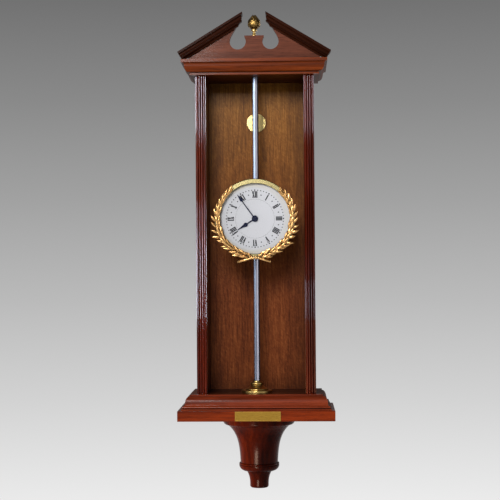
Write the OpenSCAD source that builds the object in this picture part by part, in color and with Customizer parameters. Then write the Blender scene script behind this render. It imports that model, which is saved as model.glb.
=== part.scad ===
// Gravity rack clock: a clock head that sinks down a toothed rod in a wall case.
// Origin: on the axis of the wall screw, at the wall. Front is -Y and up is +Z. Sizes in mm.

/* [Case] */
// Width across both pilasters
case_w = 214; // [200:1:240]
// Depth from the wall to the front of the pilasters
case_d = 110; // [104:1:130]
// Height of the open niche, from the base to the soffit
niche_h = 574; // [540:1:640]
// Height of the soffit above the wall screw
soffit_z = 75; // [60:1:90]
// Thickness of a side board, which is also the width of a pilaster
side_t = 18.5; // [14:0.5:20]
// Depth of the reeded strip on the front edge of a side board
strip_d = 12; // [8:1:16]
// Number of reeds on a pilaster
reeds = 4; // [3:1:5]
// Flat margin at each side of the reeds
reed_margin = 0.7; // [0.5:0.1:1.5]
// Thickness of the backboard
back_t = 12; // [9:1:16]
// Thickness of the board on top of the cornice
board_t = 10; // [8:0.5:12]

/* [Cornice] */
// Height of the cornice
cornice_h = 26.5; // [24:0.5:32]
// How far its top edge stands out from the case
cornice_out = 24; // [20:1:30]
// Height of its top fillet
cornice_fillet = 5.5; // [4:0.5:7]
// Height of the small fillet at its foot
cornice_foot = 3.2; // [2:0.2:4]
// How far that fillet stands out from the case
cornice_foot_out = 9.5; // [7:0.5:12]
// Depth of the quirks beside the curve
quirk = 1.2; // [0.8:0.1:1.6]

/* [Pediment] */
// How far the lower ends of the raking mouldings stand beyond the cornice
rake_over = 7; // [4:0.5:10]
// Half of the gap between their upper ends
rake_gap = 21; // [18:1:25]
// Height of their lower ends above the cornice
rake_foot = 14.5; // [14:0.5:20]
// Height of their upper ends above the cornice
rake_top = 85.5; // [80:0.5:95]
// Thickness of a raking moulding, square to its slope
rake_t = 18; // [16:0.5:21]
// How far it stands out from the pediment board
rake_out = 12; // [9:0.5:14]
// Thickness of its part over the pediment board
rake_cap = 6; // [4:0.5:8]
// Thickness of the pediment board
pediment_t = 12; // [9:1:16]
// How far the board stands in front of the pilasters
pediment_out = 4; // [0:0.5:8]
// How far the foot of the board ends inside the edge of the cornice
pediment_in = 12.5; // [8:0.5:16]
// Radius of the round cut-outs beside the plinth
scroll_r = 14.6; // [12:0.2:16]
// Height of their centres above the cornice
scroll_z = 34; // [30:0.5:38]
// Width of the plinth's neck between them
plinth_neck = 30; // [26:1:34]
// Width of the plinth's cap
plinth_w = 35; // [32:1:38]
// Thickness of that cap
plinth_cap = 4; // [3:0.5:6]
// Height of the plinth above the cornice
plinth_z = 44.5; // [42:0.5:50]

/* [Finial] */
// Height of the scaled body
finial_h = 27; // [24:1:32]
// Largest radius of the body, without its scales
finial_r = 10; // [8:0.2:12]
// Height of the turned stem under it
stem_h = 12; // [9:0.5:15]
// Radius of the dowel in the plinth
dowel_r = 3; // [2:0.5:4]
// Length of that dowel
dowel_len = 12; // [8:1:18]
// Rows of scales
scale_rows = 6; // [5:1:8]
// Scales in a row
scales = 8; // [6:1:10]

/* [Base] */
// Height of the moulded part of the base
base_h = 27; // [24:0.5:32]
// Height of the slab under it
slab_h = 18.7; // [16:0.1:24]
// How far the slab stands out from the case
slab_out = 33; // [28:1:38]
// Radius of the slab's front edges
slab_edge = 1; // [0.5:0.25:2]
// How far the top of the moulding stands out from the case
base_top_out = 12; // [9:0.5:14]
// How far the foot of the moulding stands out
base_foot_out = 27; // [23:0.5:28]
// Width of the brass plaque
plaque_w = 81; // [60:1:100]
// Height of the plaque
plaque_h = 16.8; // [12:0.2:18]
// Thickness of the plaque
plaque_t = 1.2; // [0.8:0.1:2]
// How far the plaque and the pendant sit to the right of the middle
foot_x = 3; // [-5:0.5:5]

/* [Pendant] */
// Radius of the flange against the slab
pendant_r = 65; // [56:1:68]
// Thickness of the flange
pendant_flange = 12; // [9:0.5:14]
// Radius of the narrow part of the body
pendant_body_r = 33.2; // [30:0.2:36]
// Radius of the bead
pendant_bead_r = 36.5; // [35:0.1:42]
// Radius of the tip
pendant_tip_r = 16.9; // [14:0.1:20]
// Length of the whole pendant
pendant_h = 127; // [115:1:150]

/* [Rod] */
// Radius of the rod
rod_r = 6; // [5.5:0.25:7]
// Distance of the rod's axis behind the front of the pilasters
rod_in = 30; // [26:1:32]
// Gear module of the rack cut in the rod
rack_m = 1; // [0.9:0.05:1.1]
// Depth of the rod's seats in the base and the soffit
rod_seat = 8; // [5:0.5:9]
// Radius of the brass foot
foot_r = 28; // [24:1:34]
// Height of the foot's turned body
foot_h = 14; // [10:0.5:18]
// Radius of the knob on top of the foot
knob_r = 12; // [10:0.5:15]
// Height of the knob with its neck
knob_h = 8; // [6:0.5:12]

/* [Wall fixing] */
// Radius of the hole for the wall screw
screw_hole_r = 2.75; // [2:0.25:4]
// Radius of the brass disc round the hole
disc_r = 18; // [14:0.5:24]
// Thickness of the disc
disc_t = 1.6; // [1:0.1:3]

/* [Clock head] */
// Height of the dial's centre under the wall screw, at rest
dial_drop = 185.3; // [170:0.1:200]
// Radius of the dial that shows inside the bezel
dial_r = 62.5; // [60:0.5:64]
// Width of the flat of the bezel
bezel_w = 8.5; // [7:0.5:10]
// Thickness of the bezel's flat
bezel_t = 3; // [2:0.25:4]
// Thickness of the dial
dial_t = 1.2; // [0.8:0.1:1.6]
// Thickness of the glass
glass_t = 1.4; // [1:0.1:2]
// Room between the dial and the glass
hand_room = 3.6; // [3.6:0.1:5]
// Wall of the drum
drum_t = 1.5; // [1.2:0.1:2]
// How far the drum's back lies behind the rod's axis
drum_behind = 21; // [18:1:26]
// How far the back of the dial lies in front of the rod's axis
dial_ahead = 53; // [52:0.5:56]
// Length of a guide bush for the rod
bush_len = 12; // [8:0.5:14]
// Wall of a guide bush
bush_t = 2.5; // [1.5:0.25:3.5]
// Radius of the bush's flange beyond the bush
bush_flange = 2.5; // [1.5:0.25:3.5]

/* [Wreath] */
// Radius of the wreath's stem
wreath_r = 71.5; // [69:0.5:74]
// Pairs of leaves on a branch
leaf_pairs = 13; // [10:1:16]
// Length of a leaf
leaf_len = 17; // [13:0.5:20]
// Half width of a leaf
leaf_w = 3; // [2:0.1:4]
// Thickness of a leaf at its midrib
leaf_t = 2.4; // [1.8:0.1:3]
// Radius of the stem
stem_r = 1.3; // [1:0.1:1.6]
// Radius of a berry
berry_r = 1.6; // [1.2:0.1:2]
// Angle from the bottom at which a branch starts
branch_from_angle = 9; // [6:1:14]
// Angle from the bottom at which it ends
branch_to_angle = 139; // [120:1:150]

/* [Hands] */
// Reach of the minute hand
minute_len = 53; // [44:0.5:56]
// Reach of the hour hand
hour_len = 38; // [30:0.5:42]
// Radius of the boss of the minute hand
boss_r = 5.7; // [4.5:0.1:7]
// Thickness of a hand
hand_t = 0.6; // [0.4:0.1:0.8]
// Minutes shown
minutes = 54; // [0:1:59]
// Hours shown
hours = 7; // [0:1:11]

/* [Movement] */
// Thickness of a movement plate
plate_t = 2; // [1.5:0.1:2.5]
// Room between the two plates
plate_gap = 28; // [26:0.5:29]
// Radius of the rear plate
plate_r = 54; // [52:0.5:57]
// Radius of a pillar
pillar_r = 2.5; // [2:0.25:3.5]
// Teeth of the rack pinion
drive_teeth = 12; // [12:1:14]
// Module of the great wheel
great_m = 0.6; // [0.56:0.01:0.64]
// Module of the intermediate wheel
inter_m = 0.7; // [0.68:0.01:0.74]
// Module of the centre wheel
centre_m = 0.35; // [0.33:0.01:0.36]
// Module of the third wheel
third_m = 0.32; // [0.31:0.01:0.34]
// Module of the fourth wheel
fourth_m = 0.24; // [0.23:0.005:0.25]
// Radius of the escape wheel
escape_r = 5.5; // [5:0.1:5.8]
// Radius of the balance
balance_r = 9.5; // [8.5:0.1:10]
// Turns of the hairspring
hair_turns = 7; // [5:1:9]
// Radius of a wheel's arbor
arbor_r = 1.1; // [0.8:0.05:1.2]
// Radius of the centre arbor
centre_r = 1.5; // [1.2:0.05:1.6]
// Radius of the drive arbor
drive_r = 2.5; // [2:0.1:3]

/* [Clearances] */
// Play of a shaft in its hole, at the radius
run_gap = 0.05; // [0.02:0.01:0.09]
// Play of a fixed piece in its seat, at the radius
seat_gap = 0.03; // [0.01:0.01:0.1]
// Gap between pieces that pass each other
pass_gap = 0.35; // [0.3:0.05:0.6]

/* [Hidden] */
$fn = 96;
eps = 0.01;

wood = "#6d2a16";
board_wood = "#6a4025";
brass = "#c9a24a";
gilt = "#c99a44";
steel = "#c4c8cc";
dark_steel = "#1c2028";

half_w = case_w / 2;
base_z = soffit_z - niche_h;
block_z = base_z - base_h;
slab_z = block_z - slab_h;
cornice_z = soffit_z + cornice_h;
dial_z = -dial_drop;
rod_y = case_d - rod_in;
drum_back_y = rod_y - drum_behind;
dial_y = rod_y + dial_ahead;

// One arc of points from angle a to angle b
function arc(centre, r, a, b, n = 6) =
    [for (i = [0:n]) centre + r * [cos(a + (b - a) * i / n), sin(a + (b - a) * i / n)]];

// Where two circles round p and q meet, on the left of the way from p to q
function meet(p, rp, q, rq) =
    let (d = norm(q - p), a = (rp * rp - rq * rq + d * d) / (2 * d),
         h = sqrt(rp * rp - a * a), u = (q - p) / d)
    p + a * u + h * [-u[1], u[0]];

function angle_of(p) = atan2(p[1], p[0]);
function polar(r, a) = r * [cos(a), sin(a)];

// A flat outline in X and Z made into a plate that reaches from y_rear forwards by t
module plate_y(y_rear, t) {
    translate([0, y_rear, 0]) rotate([90, 0, 0]) linear_extrude(t) children();
}

// A bar of a flat drawing, from p to q
module bar(p, q, w) {
    translate(p) rotate(angle_of(q - p)) translate([0, -w / 2]) square([norm(q - p), w]);
}

module at_dial() {
    translate([0, 0, dial_z]) children();
}

// Joinery: boards of the case

module backboard() {
    color(board_wood) difference() {
        translate([-half_w + side_t, -back_t, base_z])
            cube([case_w - 2 * side_t, back_t, niche_h]);
        rotate([90, 0, 0]) translate([0, 0, -eps]) cylinder(h = back_t + 2 * eps, r = screw_hole_r);
    }
}

module side_panel() {
    color(wood) translate([half_w - side_t, -case_d + strip_d, base_z])
        cube([side_t, case_d - strip_d, niche_h]);
}

// A strip with round reeds standing side by side on its front
module pilaster() {
    reed_r = (side_t - 2 * reed_margin) / reeds / 2;
    color(wood) translate([half_w - side_t, -case_d, base_z]) linear_extrude(niche_h) {
        translate([0, reed_r]) square([side_t, strip_d - reed_r]);
        for (i = [0:reeds - 1])
            translate([reed_margin + reed_r * (2 * i + 1), reed_r]) circle(reed_r);
    }
}

module soffit_board() {
    color(wood) difference() {
        translate([-half_w, -case_d, soffit_z]) cube([case_w, case_d, cornice_h - board_t]);
        translate([0, -rod_y, soffit_z - eps])
            cylinder(h = rod_seat + eps, r = rod_r + seat_gap);
    }
}

module top_board() {
    color(wood) translate([-half_w, -case_d, cornice_z - board_t])
        cube([case_w, case_d, board_t]);
}

// Mouldings: a profile is a list of [distance out from the case, height]

// The part of a moulding along the front, mitred at both ends
module front_run(profile, out, z) {
    intersection() {
        translate([-half_w - out, -case_d, z]) rotate([90, 0, 90])
            linear_extrude(case_w + 2 * out) polygon([for (p = profile) [-p[0], p[1]]]);
        translate([0, 0, z - eps]) linear_extrude(cornice_h + base_h)
            polygon([[-half_w - out, -case_d - out], [half_w + out, -case_d - out],
                     [half_w, -case_d], [-half_w, -case_d]]);
    }
}

// The part along the right side, mitred at the front and cut square at the wall
module side_run(profile, out, z) {
    intersection() {
        translate([half_w, 0, z]) rotate([90, 0, 0])
            linear_extrude(case_d + out) polygon(profile);
        translate([0, 0, z - eps]) linear_extrude(cornice_h + base_h)
            polygon([[half_w, eps], [half_w + out, eps],
                     [half_w + out, -case_d - out], [half_w, -case_d]]);
    }
}

// From the foot up: small fillet, quirk, tall round, cove and top fillet
cove_r = 4;
round_w = cornice_out - quirk - cove_r - cornice_foot_out - quirk;
round_z = cornice_foot + quirk;
round_h = cornice_h - cornice_fillet - cove_r - round_z;
cornice_profile = concat(
    [[0, 0], [cornice_foot_out, 0], [cornice_foot_out, cornice_foot],
     [cornice_foot_out - quirk, cornice_foot], [cornice_foot_out - quirk, round_z]],
    [for (i = [0:9])
        [cornice_foot_out + quirk + round_w * sin(i * 10), round_z + round_h * (1 - cos(i * 10))]],
    arc([cornice_out - quirk, cornice_h - cornice_fillet - cove_r], cove_r, 180, 90, 6),
    [[cornice_out, cornice_h - cornice_fillet], [cornice_out, cornice_h], [0, cornice_h]]);

module cornice_front() {
    color(wood) front_run(cornice_profile, cornice_out, soffit_z);
}

module cornice_return() {
    color(wood) side_run(cornice_profile, cornice_out, soffit_z);
}

// Fillet, ovolo, hollow, bead and quirk, from the top of the base down to the slab
base_step = base_h * 0.11;
ovolo_h = base_h * 0.52;
ovolo_out = base_h * 0.27;
ovolo_z = base_h - base_step - ovolo_h;
hollow_r = base_h * 0.11;
bead_r = base_h * 0.065;
bead_z = ovolo_z - hollow_r - bead_r;
bead_x = base_top_out + quirk + ovolo_out + hollow_r;
base_profile = concat(
    [[0, 0], [base_foot_out, 0], [base_foot_out, bead_z - bead_r - quirk],
     [bead_x, bead_z - bead_r - quirk]],
    arc([bead_x, bead_z], bead_r, -90, 90),
    arc([bead_x, ovolo_z], hollow_r, -105, -172),
    [for (i = [0:8]) [base_top_out + quirk + ovolo_out * cos(i * 11.25),
                      ovolo_z + ovolo_h * sin(i * 11.25)]],
    [[base_top_out, base_h - base_step], [base_top_out, base_h], [0, base_h]]);

module base_moulding_front() {
    color(wood) front_run(base_profile, base_foot_out + bead_r, block_z);
}

module base_moulding_side() {
    color(wood) side_run(base_profile, base_foot_out + bead_r, block_z);
}

// Pediment: a board with two scrolled openings between raking mouldings

pediment_y = -case_d - pediment_out;
pediment_w = half_w + cornice_out - pediment_in;
rake_span = half_w + cornice_out + rake_over;
rake_slope = atan2(rake_top - rake_foot, rake_span - rake_gap);
function rake_line(x) = cornice_z + rake_top - (abs(x) - rake_gap) * tan(rake_slope);
rake_lip = rake_t * 0.22;
rake_groove = rake_t * 0.62;
rake_bead = rake_t * 0.075;
rake_cove = rake_t * 0.82;

// Lip, round, groove, bead and cove, as [distance out, distance down square to the slope]
rake_front = concat(
    [[rake_out, 0], [rake_out, rake_lip], [rake_out * 0.86, rake_lip]],
    [for (i = [0:8])
        [rake_out * (0.84 + 0.1 * sin(i * 22.5)), rake_lip + (rake_groove - rake_lip) * (i + 1) / 9]],
    [[rake_out * 0.78, rake_groove], [rake_out * 0.78, rake_cove - 2 * rake_bead - eps]],
    arc([rake_out * 0.86, rake_cove - rake_bead], rake_bead, -90, 90),
    [for (i = [1:6])
        [rake_out * (0.84 - 0.42 * sin(i * 15)), rake_cove + (rake_t - rake_cove) * (1 - cos(i * 15))]]);
rake_back = [[0, rake_t], [0, rake_cap], [-pediment_t, rake_cap], [-pediment_t, 0]];

// A profile turned so that out is -Y and down is -Z
function turned(points) = [for (p = points) -p];

// The right moulding, seen from the front: a returned upper end and a square cut lower end, which
// stands just clear of the cornice
rake_rest = 1;
function down_from(x, d) = [x - d * sin(rake_slope), rake_line(x) - d * cos(rake_slope)];
rake_end = [for (p = rake_front)
    let (x = rake_gap + rake_out - p[0]) [x, rake_line(x) - p[1] / cos(rake_slope)]];

module rake_outline() {
    last = rake_end[len(rake_end) - 1];
    intersection() {
        polygon(concat([rake_end[0] + [0, rake_rest]], rake_end, [last - [0, rake_rest]],
                       [down_from(rake_span, rake_t + rake_rest), down_from(rake_span, -rake_rest)]));
        translate([0, cornice_z + rake_rest]) square([2 * rake_span, 2 * rake_top]);
    }
}

module raking_moulding() {
    run = (rake_span - rake_gap) / cos(rake_slope);
    color(wood) intersection() {
        translate([-rake_span, pediment_y, cornice_z + rake_foot])
            rotate([0, -rake_slope, 0]) translate([-rake_t, 0, 0]) rotate([90, 0, 90])
            linear_extrude(run + 2 * rake_t) polygon(turned(concat(rake_front, rake_back)));
        plate_y(pediment_y + 2 * pediment_t, rake_out + 3 * pediment_t) mirror([1, 0]) rake_outline();
    }
}

scroll_x = plinth_neck / 2 + scroll_r;
throat_x = rake_gap + rake_out * 0.72;
throat_top = rake_line(throat_x) - rake_t / 2 / cos(rake_slope);

// The opening on the right: a round cut-out that sweeps up to the gap between the mouldings
module scroll_cut() {
    steps = 10;
    z0 = cornice_z + scroll_z;
    from = [scroll_x + scroll_r, z0];
    translate([scroll_x, z0]) circle(scroll_r);
    polygon(concat(
        [for (i = [0:steps]) let (t = i / steps, ease = (1 - cos(t * 180)) / 2)
            [from[0] + (throat_x - from[0]) * ease, from[1] + (throat_top - from[1]) * t]],
        [[throat_x, cornice_z + 2 * rake_top], [0, cornice_z + 2 * rake_top],
         [0, cornice_z + plinth_z], [plinth_w / 2, cornice_z + plinth_z],
         [plinth_w / 2, cornice_z + plinth_z - plinth_cap],
         [plinth_neck / 2 + scroll_r * 0.1, cornice_z + plinth_z - plinth_cap],
         [scroll_x, z0]]));
}

module pediment_board() {
    top = rake_cap / cos(rake_slope);
    color(wood) difference() {
        plate_y(pediment_y + pediment_t, pediment_t) difference() {
            polygon([[-pediment_w, cornice_z], [pediment_w, cornice_z],
                     [pediment_w, rake_line(pediment_w) - top], [0, rake_line(0) - top],
                     [-pediment_w, rake_line(pediment_w) - top]]);
            scroll_cut();
            mirror([1, 0]) scroll_cut();
        }
        at_finial() translate([0, 0, -dowel_len])
            cylinder(h = dowel_len + 1, r = dowel_r + seat_gap);
    }
}

// Finial: a turned stem and an egg of overlapping scales

module at_finial() {
    translate([0, pediment_y + pediment_t / 2, cornice_z + plinth_z]) children();
}

// Dowel, collar, ball, neck and a flange that carries the egg
module finial_stem() {
    ball_r = stem_h * 0.2;
    color(brass) at_finial() {
        translate([0, 0, -dowel_len]) cylinder(h = dowel_len + eps, r = dowel_r);
        rotate_extrude() polygon(concat(
            [[0, 0], [finial_r * 0.45, 0], [finial_r * 0.45, stem_h * 0.08]],
            arc([finial_r * 0.1, stem_h * 0.3], ball_r, -65, 65),
            [[finial_r * 0.22, stem_h * 0.6], [finial_r * 0.38, stem_h * 0.68],
             [finial_r * 0.57, stem_h * 0.72], [finial_r * 0.57, stem_h * 0.82],
             [finial_r * 0.46, stem_h * 0.9], [finial_r * 0.44, stem_h], [0, stem_h]]));
    }
}

// Radius of the egg at height t, from 0 at its foot to 1 at its top, with its widest place at egg_mid
egg_mid = 0.42;
function egg(t) = finial_r * (t < egg_mid
    ? sqrt(1 - pow((egg_mid - t) / 0.47, 2))
    : pow(1 - pow((t - egg_mid) / (1 - egg_mid), 2), 0.75));

module finial() {
    color(gilt) at_finial() translate([0, 0, stem_h]) intersection() {
        finial_scales();
        cylinder(h = 2 * finial_h, r = 2 * finial_r);
    }
}

// Each scale hugs the egg at its foot and lifts off it at its tip
module finial_scales() {
    union() {
        rotate_extrude($fn = 24) polygon(concat([[0, 0]],
            [for (i = [0:10]) [egg(i / 10 * 0.97) * 0.95, finial_h * 0.95 * i / 10]],
            [[0, finial_h * 0.95]]));
        for (row = [0:scale_rows - 1], i = [0:scales - 1]) {
            t = 0.05 + 0.75 * row / (scale_rows - 1);
            tip_t = t + 0.17;
            half = 180 / scales * 0.0175 * egg(t + 0.04) + finial_r * 0.04;
            rotate(360 / scales * (i + (row % 2) / 2)) hull() {
                translate([egg(t + 0.04) - half * 0.62, 0, finial_h * (t + 0.04)]) sphere(half, $fn = 8);
                translate([egg(tip_t) + finial_r * 0.1, 0, finial_h * tip_t])
                    sphere(finial_r * 0.05, $fn = 5);
            }
        }
        translate([0, 0, finial_h * 0.88])
            cylinder(h = finial_h * 0.12, r1 = finial_r * 0.3, r2 = finial_r * 0.04, $fn = 10);
    }
}

// Base: a block under the niche, mouldings round it, a slab and a turned pendant

module base_block() {
    color(wood) difference() {
        translate([-half_w, -case_d, block_z]) cube([case_w, case_d, base_h]);
        translate([0, -rod_y, base_z - rod_seat])
            cylinder(h = rod_seat + eps, r = rod_r + seat_gap);
        for (p = screw_places) translate([p[0], p[1], block_z - eps])
            cylinder(h = screw_len, r = screw_r + seat_gap, $fn = 32);
    }
}

screw_r = 2;
screw_head_r = 4;
screw_len = 12;
screw_inset = 20;
screw_places = [for (x = [-half_w + screw_inset, half_w - screw_inset],
                     y = [-case_d + screw_inset, -screw_inset]) [x, y]];

module base_slab() {
    color(wood) difference() {
        translate([-half_w - slab_out, -case_d - slab_out, slab_z]) intersection() {
            translate([0, case_d + slab_out, 0]) rotate([90, 0, 0])
                linear_extrude(case_d + slab_out) eased_square(case_w + 2 * slab_out, slab_h);
            rotate([90, 0, 90]) linear_extrude(case_w + 2 * slab_out)
                eased_square(case_d + slab_out + 2 * slab_edge, slab_h);
            cube([case_w + 2 * slab_out, case_d + slab_out, slab_h]);
        }
        for (p = screw_places) translate([p[0], p[1], slab_z]) {
            translate([0, 0, -eps])
                cylinder(h = screw_head_r - screw_r, r1 = screw_head_r + seat_gap + eps,
                         r2 = screw_r + seat_gap, $fn = 32);
            cylinder(h = slab_h + eps, r = screw_r + seat_gap, $fn = 32);
        }
        at_pendant() translate([0, 0, -eps]) cylinder(h = pin_len, r = pin_r + seat_gap);
    }
}

// A rectangle whose four corners are rounded with true arcs
module eased_square(w, h) {
    translate([slab_edge, 0]) square([w - 2 * slab_edge, h]);
    translate([0, slab_edge]) square([w, h - 2 * slab_edge]);
    for (x = [slab_edge, w - slab_edge], y = [slab_edge, h - slab_edge])
        translate([x, y]) circle(slab_edge, $fn = 32);
}

module slab_screws() {
    color(steel) for (p = screw_places) translate([p[0], p[1], slab_z]) difference() {
        union() {
            cylinder(h = screw_head_r - screw_r, r1 = screw_head_r, r2 = screw_r, $fn = 32);
            cylinder(h = slab_h + screw_len - 1, r = screw_r, $fn = 32);
        }
        translate([-screw_head_r, -0.5, -eps]) cube([2 * screw_head_r, 1, 0.8]);
    }
}

module plaque() {
    rim = 1.5;
    color(brass) translate([foot_x - plaque_w / 2, -case_d - slab_out, slab_z + (slab_h - plaque_h) / 2])
        difference() {
            translate([0, -plaque_t, 0]) cube([plaque_w, plaque_t, plaque_h]);
            translate([rim, -plaque_t - eps, rim])
                cube([plaque_w - 2 * rim, 0.25, plaque_h - 2 * rim]);
        }
}

pendant_y = (case_d + slab_out) / 2;
pin_r = 6;
pin_len = 12;
module at_pendant() {
    translate([foot_x, -pendant_y, slab_z]) children();
}

// Half outline of the turning, from the slab down: flange, long bell, thin bead over a thick one, tip
flange_round = pendant_flange * 0.45;
flange_flat = pendant_flange * 0.55;
bell_top = pendant_flange + 1;
bell_end = pendant_h * 0.64;
bell_r = pendant_r - pendant_flange * 0.71;
bead_small = pendant_h * 0.018;
bead_top = bell_end + 2 * bead_small;
bead_end = pendant_h * 0.76;
neck_r = pendant_bead_r * 0.65;
tip_round = pendant_tip_r * 0.22;
pendant_profile = concat(
    [[0, 0], [pendant_r - 1, 0], [pendant_r, -1], [pendant_r, -flange_flat]],
    arc([pendant_r - flange_round, -flange_flat], flange_round, 0, -80, 4),
    [for (i = [0:14]) let (t = i / 14)
        [pendant_body_r + (bell_r - pendant_body_r) * exp(-t / 0.3),
         -bell_top - (bell_end - bell_top) * t]],
    arc([pendant_bead_r - bead_small, -bell_end - bead_small], bead_small, 80, -60),
    [for (i = [0:8])
        [neck_r + (pendant_bead_r - neck_r) * cos(i * 11), -bead_top - (bead_end - bead_top) * sin(i * 11)]],
    [for (i = [0:8]) let (t = i / 8)
        [pendant_tip_r + (neck_r - 1 - pendant_tip_r) * pow(1 - t, 2.6),
         -bead_end - 0.4 - (pendant_h - tip_round * 1.4 - bead_end) * t]],
    arc([pendant_tip_r - tip_round, -pendant_h + tip_round], tip_round, -10, -65, 3),
    [[0, -pendant_h]]);

module pendant() {
    color(wood) at_pendant() {
        rotate_extrude() polygon(pendant_profile);
        cylinder(h = pin_len - 1, r = pin_r);
    }
}

// Rod: a steel rod with a rack along its left side, in a turned brass foot

rack_pitch = 3.14159265 * rack_m;
rack_tip_x = -rod_r + 0.4;
rack_line_x = rack_tip_x + 0.8 * rack_m;
rack_root_x = rack_line_x + 1.15 * rack_m;
rack_from = base_z + foot_h + knob_h + 4;
rack_to = soffit_z - 4;
drive_w = -30;
gaps_down = floor((dial_z + drive_w - rack_from) / rack_pitch);
gaps_up = floor((rack_to - dial_z - drive_w) / rack_pitch);

// All the gaps of the rack as one comb, with one gap level with the drive pinion at rest
module rack_comb() {
    side = -rod_r - 1;
    polygon(concat(
        [[side, dial_z + drive_w - (gaps_down + 0.5) * rack_pitch]],
        [for (i = [-gaps_down:gaps_up]) let (z = dial_z + drive_w + i * rack_pitch)
            each [[rack_tip_x, z - 0.40 * rack_pitch], [rack_root_x, z - 0.22 * rack_pitch],
                  [rack_root_x, z + 0.22 * rack_pitch], [rack_tip_x, z + 0.40 * rack_pitch]]],
        [[side, dial_z + drive_w + (gaps_up + 0.5) * rack_pitch]]));
}

module rack_rod() {
    color(steel) difference() {
        translate([0, -rod_y, base_z - rod_seat])
            cylinder(h = niche_h + 2 * rod_seat, r = rod_r);
        plate_y(-rod_y + rod_r + 1, 2 * rod_r + 2) rack_comb();
    }
}

module at_foot() {
    translate([0, -rod_y, base_z]) children();
}

// Flange, ring and a flare that narrows to the knob
module rod_foot() {
    edge = foot_h * 0.11;
    ring = foot_h * 0.085;
    flange_z = foot_h * 0.25;
    ring_z = flange_z + edge + ring;
    flare_z = ring_z + ring;
    color(brass) at_foot() difference() {
        rotate_extrude() polygon(concat(
            [[0, 0], [foot_r - 0.6, 0], [foot_r, 0.6], [foot_r, flange_z]],
            arc([foot_r - edge, flange_z], edge, 0, 90, 4),
            arc([foot_r * 0.75 - ring, ring_z], ring, -90, 90),
            [for (i = [0:8]) let (t = i / 8)
                [knob_r * 0.9 + (foot_r * 0.68 - knob_r * 0.9) * pow(1 - t, 1.4),
                 flare_z + (foot_h - flare_z) * t]],
            [[0, foot_h]]));
        translate([0, 0, -eps]) cylinder(h = foot_h + 2 * eps, r = rod_r + seat_gap);
    }
}

// A bun with a narrow collar on top
module rod_knob() {
    bun = knob_h * 0.34;
    color(brass) at_foot() translate([0, 0, foot_h]) difference() {
        rotate_extrude() polygon(concat(
            [[0, 0], [knob_r * 0.84, 0]],
            arc([knob_r - bun, bun], bun, -65, 85, 8),
            [[rod_r + 1.3, bun * 2.05], [rod_r + 0.9, knob_h * 0.85], [rod_r + 1.2, knob_h],
             [0, knob_h]]));
        translate([0, 0, -eps]) cylinder(h = knob_h + 2 * eps, r = rod_r + seat_gap);
    }
}

module wall_disc() {
    color(brass) difference() {
        plate_y(-back_t, disc_t) difference() {
            circle(disc_r);
            circle(screw_hole_r);
        }
        translate([0, -back_t - disc_t, 0]) rotate([90, 0, 0]) difference() {
            translate([0, 0, -0.5]) cylinder(h = 1, r = disc_r + 1);
            translate([0, 0, -0.5 - eps]) cylinder(h = 0.5 + eps, r1 = disc_r, r2 = disc_r - 0.5);
        }
    }
}

// Clock head: drum, back, bezel, glass and dial

drum_r = dial_r + drum_t;
dial_face = dial_y + dial_t;
glass_y = dial_face + hand_room;
bezel_y = glass_y + glass_t;
bezel_front = bezel_y + bezel_t;
bezel_r = dial_r + bezel_w;
skirt_len = 12;
front_y = dial_y - 6;
back_y = front_y - plate_t - plate_gap;
function layer(k) = -(front_y - plate_t) + plate_gap * k;

back_lip = 3;
back_screw_r = 1.2;
back_screw_len = 10;
back_screw_out = drum_r - 7.5;
back_screw_angles = [90, 210, 330];

// A tube with three tapped lugs inside, for the screws of the back cover
module drum() {
    lug_y = -drum_back_y - back_lip - 0.5;
    color(brass) at_dial() difference() {
        union() {
            plate_y(-drum_back_y, dial_y - drum_back_y) difference() {
                circle(drum_r);
                circle(drum_r - drum_t);
            }
            for (a = back_screw_angles) plate_y(lug_y, 6) rotate(a)
                translate([back_screw_out - 3, -3]) square([drum_r - drum_t / 2 - back_screw_out + 3, 6]);
        }
        translate([0, -rod_y, -drum_r - 1])
            cylinder(h = 2 * drum_r + 2, r = rod_r + run_gap + bush_t + seat_gap);
        back_screw_holes();
    }
}

module drum_back() {
    color(brass) at_dial() difference() {
        union() {
            plate_y(-drum_back_y + drum_t, drum_t) circle(drum_r + drum_t);
            plate_y(-drum_back_y, back_lip) difference() {
                circle(drum_r - drum_t - seat_gap);
                circle(drum_r - 2 * drum_t);
            }
        }
        back_screw_holes();
    }
}

module at_back_screws() {
    for (a = back_screw_angles) {
        p = polar(back_screw_out, a);
        translate([p[0], -drum_back_y + drum_t, p[1]]) children();
    }
}

module back_screw_holes() {
    at_back_screws() plate_y(1, back_screw_len + 1.5) circle(back_screw_r + seat_gap, $fn = 32);
}

// Three slotted screws on the back cover
module back_screws() {
    head_t = 1.4;
    color(steel) at_dial() at_back_screws() difference() {
        union() {
            plate_y(head_t, head_t) circle(back_screw_r * 2, $fn = 32);
            plate_y(eps, back_screw_len) circle(back_screw_r, $fn = 32);
        }
        translate([-3, head_t - 0.5, -0.3]) cube([6, 1, 0.6]);
    }
}

module bezel() {
    skirt_r = drum_r + seat_gap;
    color(brass) at_dial() translate([0, -bezel_front, 0]) rotate([-90, 0, 0]) rotate_extrude()
        polygon([[dial_r, 0.8], [dial_r + 0.8, 0], [bezel_r - 1.2, 0], [bezel_r, 1.2],
                 [bezel_r, bezel_t - 0.4], [bezel_r - 0.6, bezel_t], [skirt_r + 2, bezel_t],
                 [skirt_r + 2, bezel_t + skirt_len], [skirt_r, bezel_t + skirt_len],
                 [skirt_r, bezel_t], [dial_r, bezel_t]]);
}

module dial_glass() {
    color([0.8, 0.9, 0.95, 0.35]) at_dial() plate_y(-glass_y, glass_t) circle(drum_r - seat_gap);
}

module sight_ring() {
    color(steel) at_dial() plate_y(-dial_face, hand_room) difference() {
        circle(drum_r - seat_gap);
        circle(dial_r + 0.3);
    }
}

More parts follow.
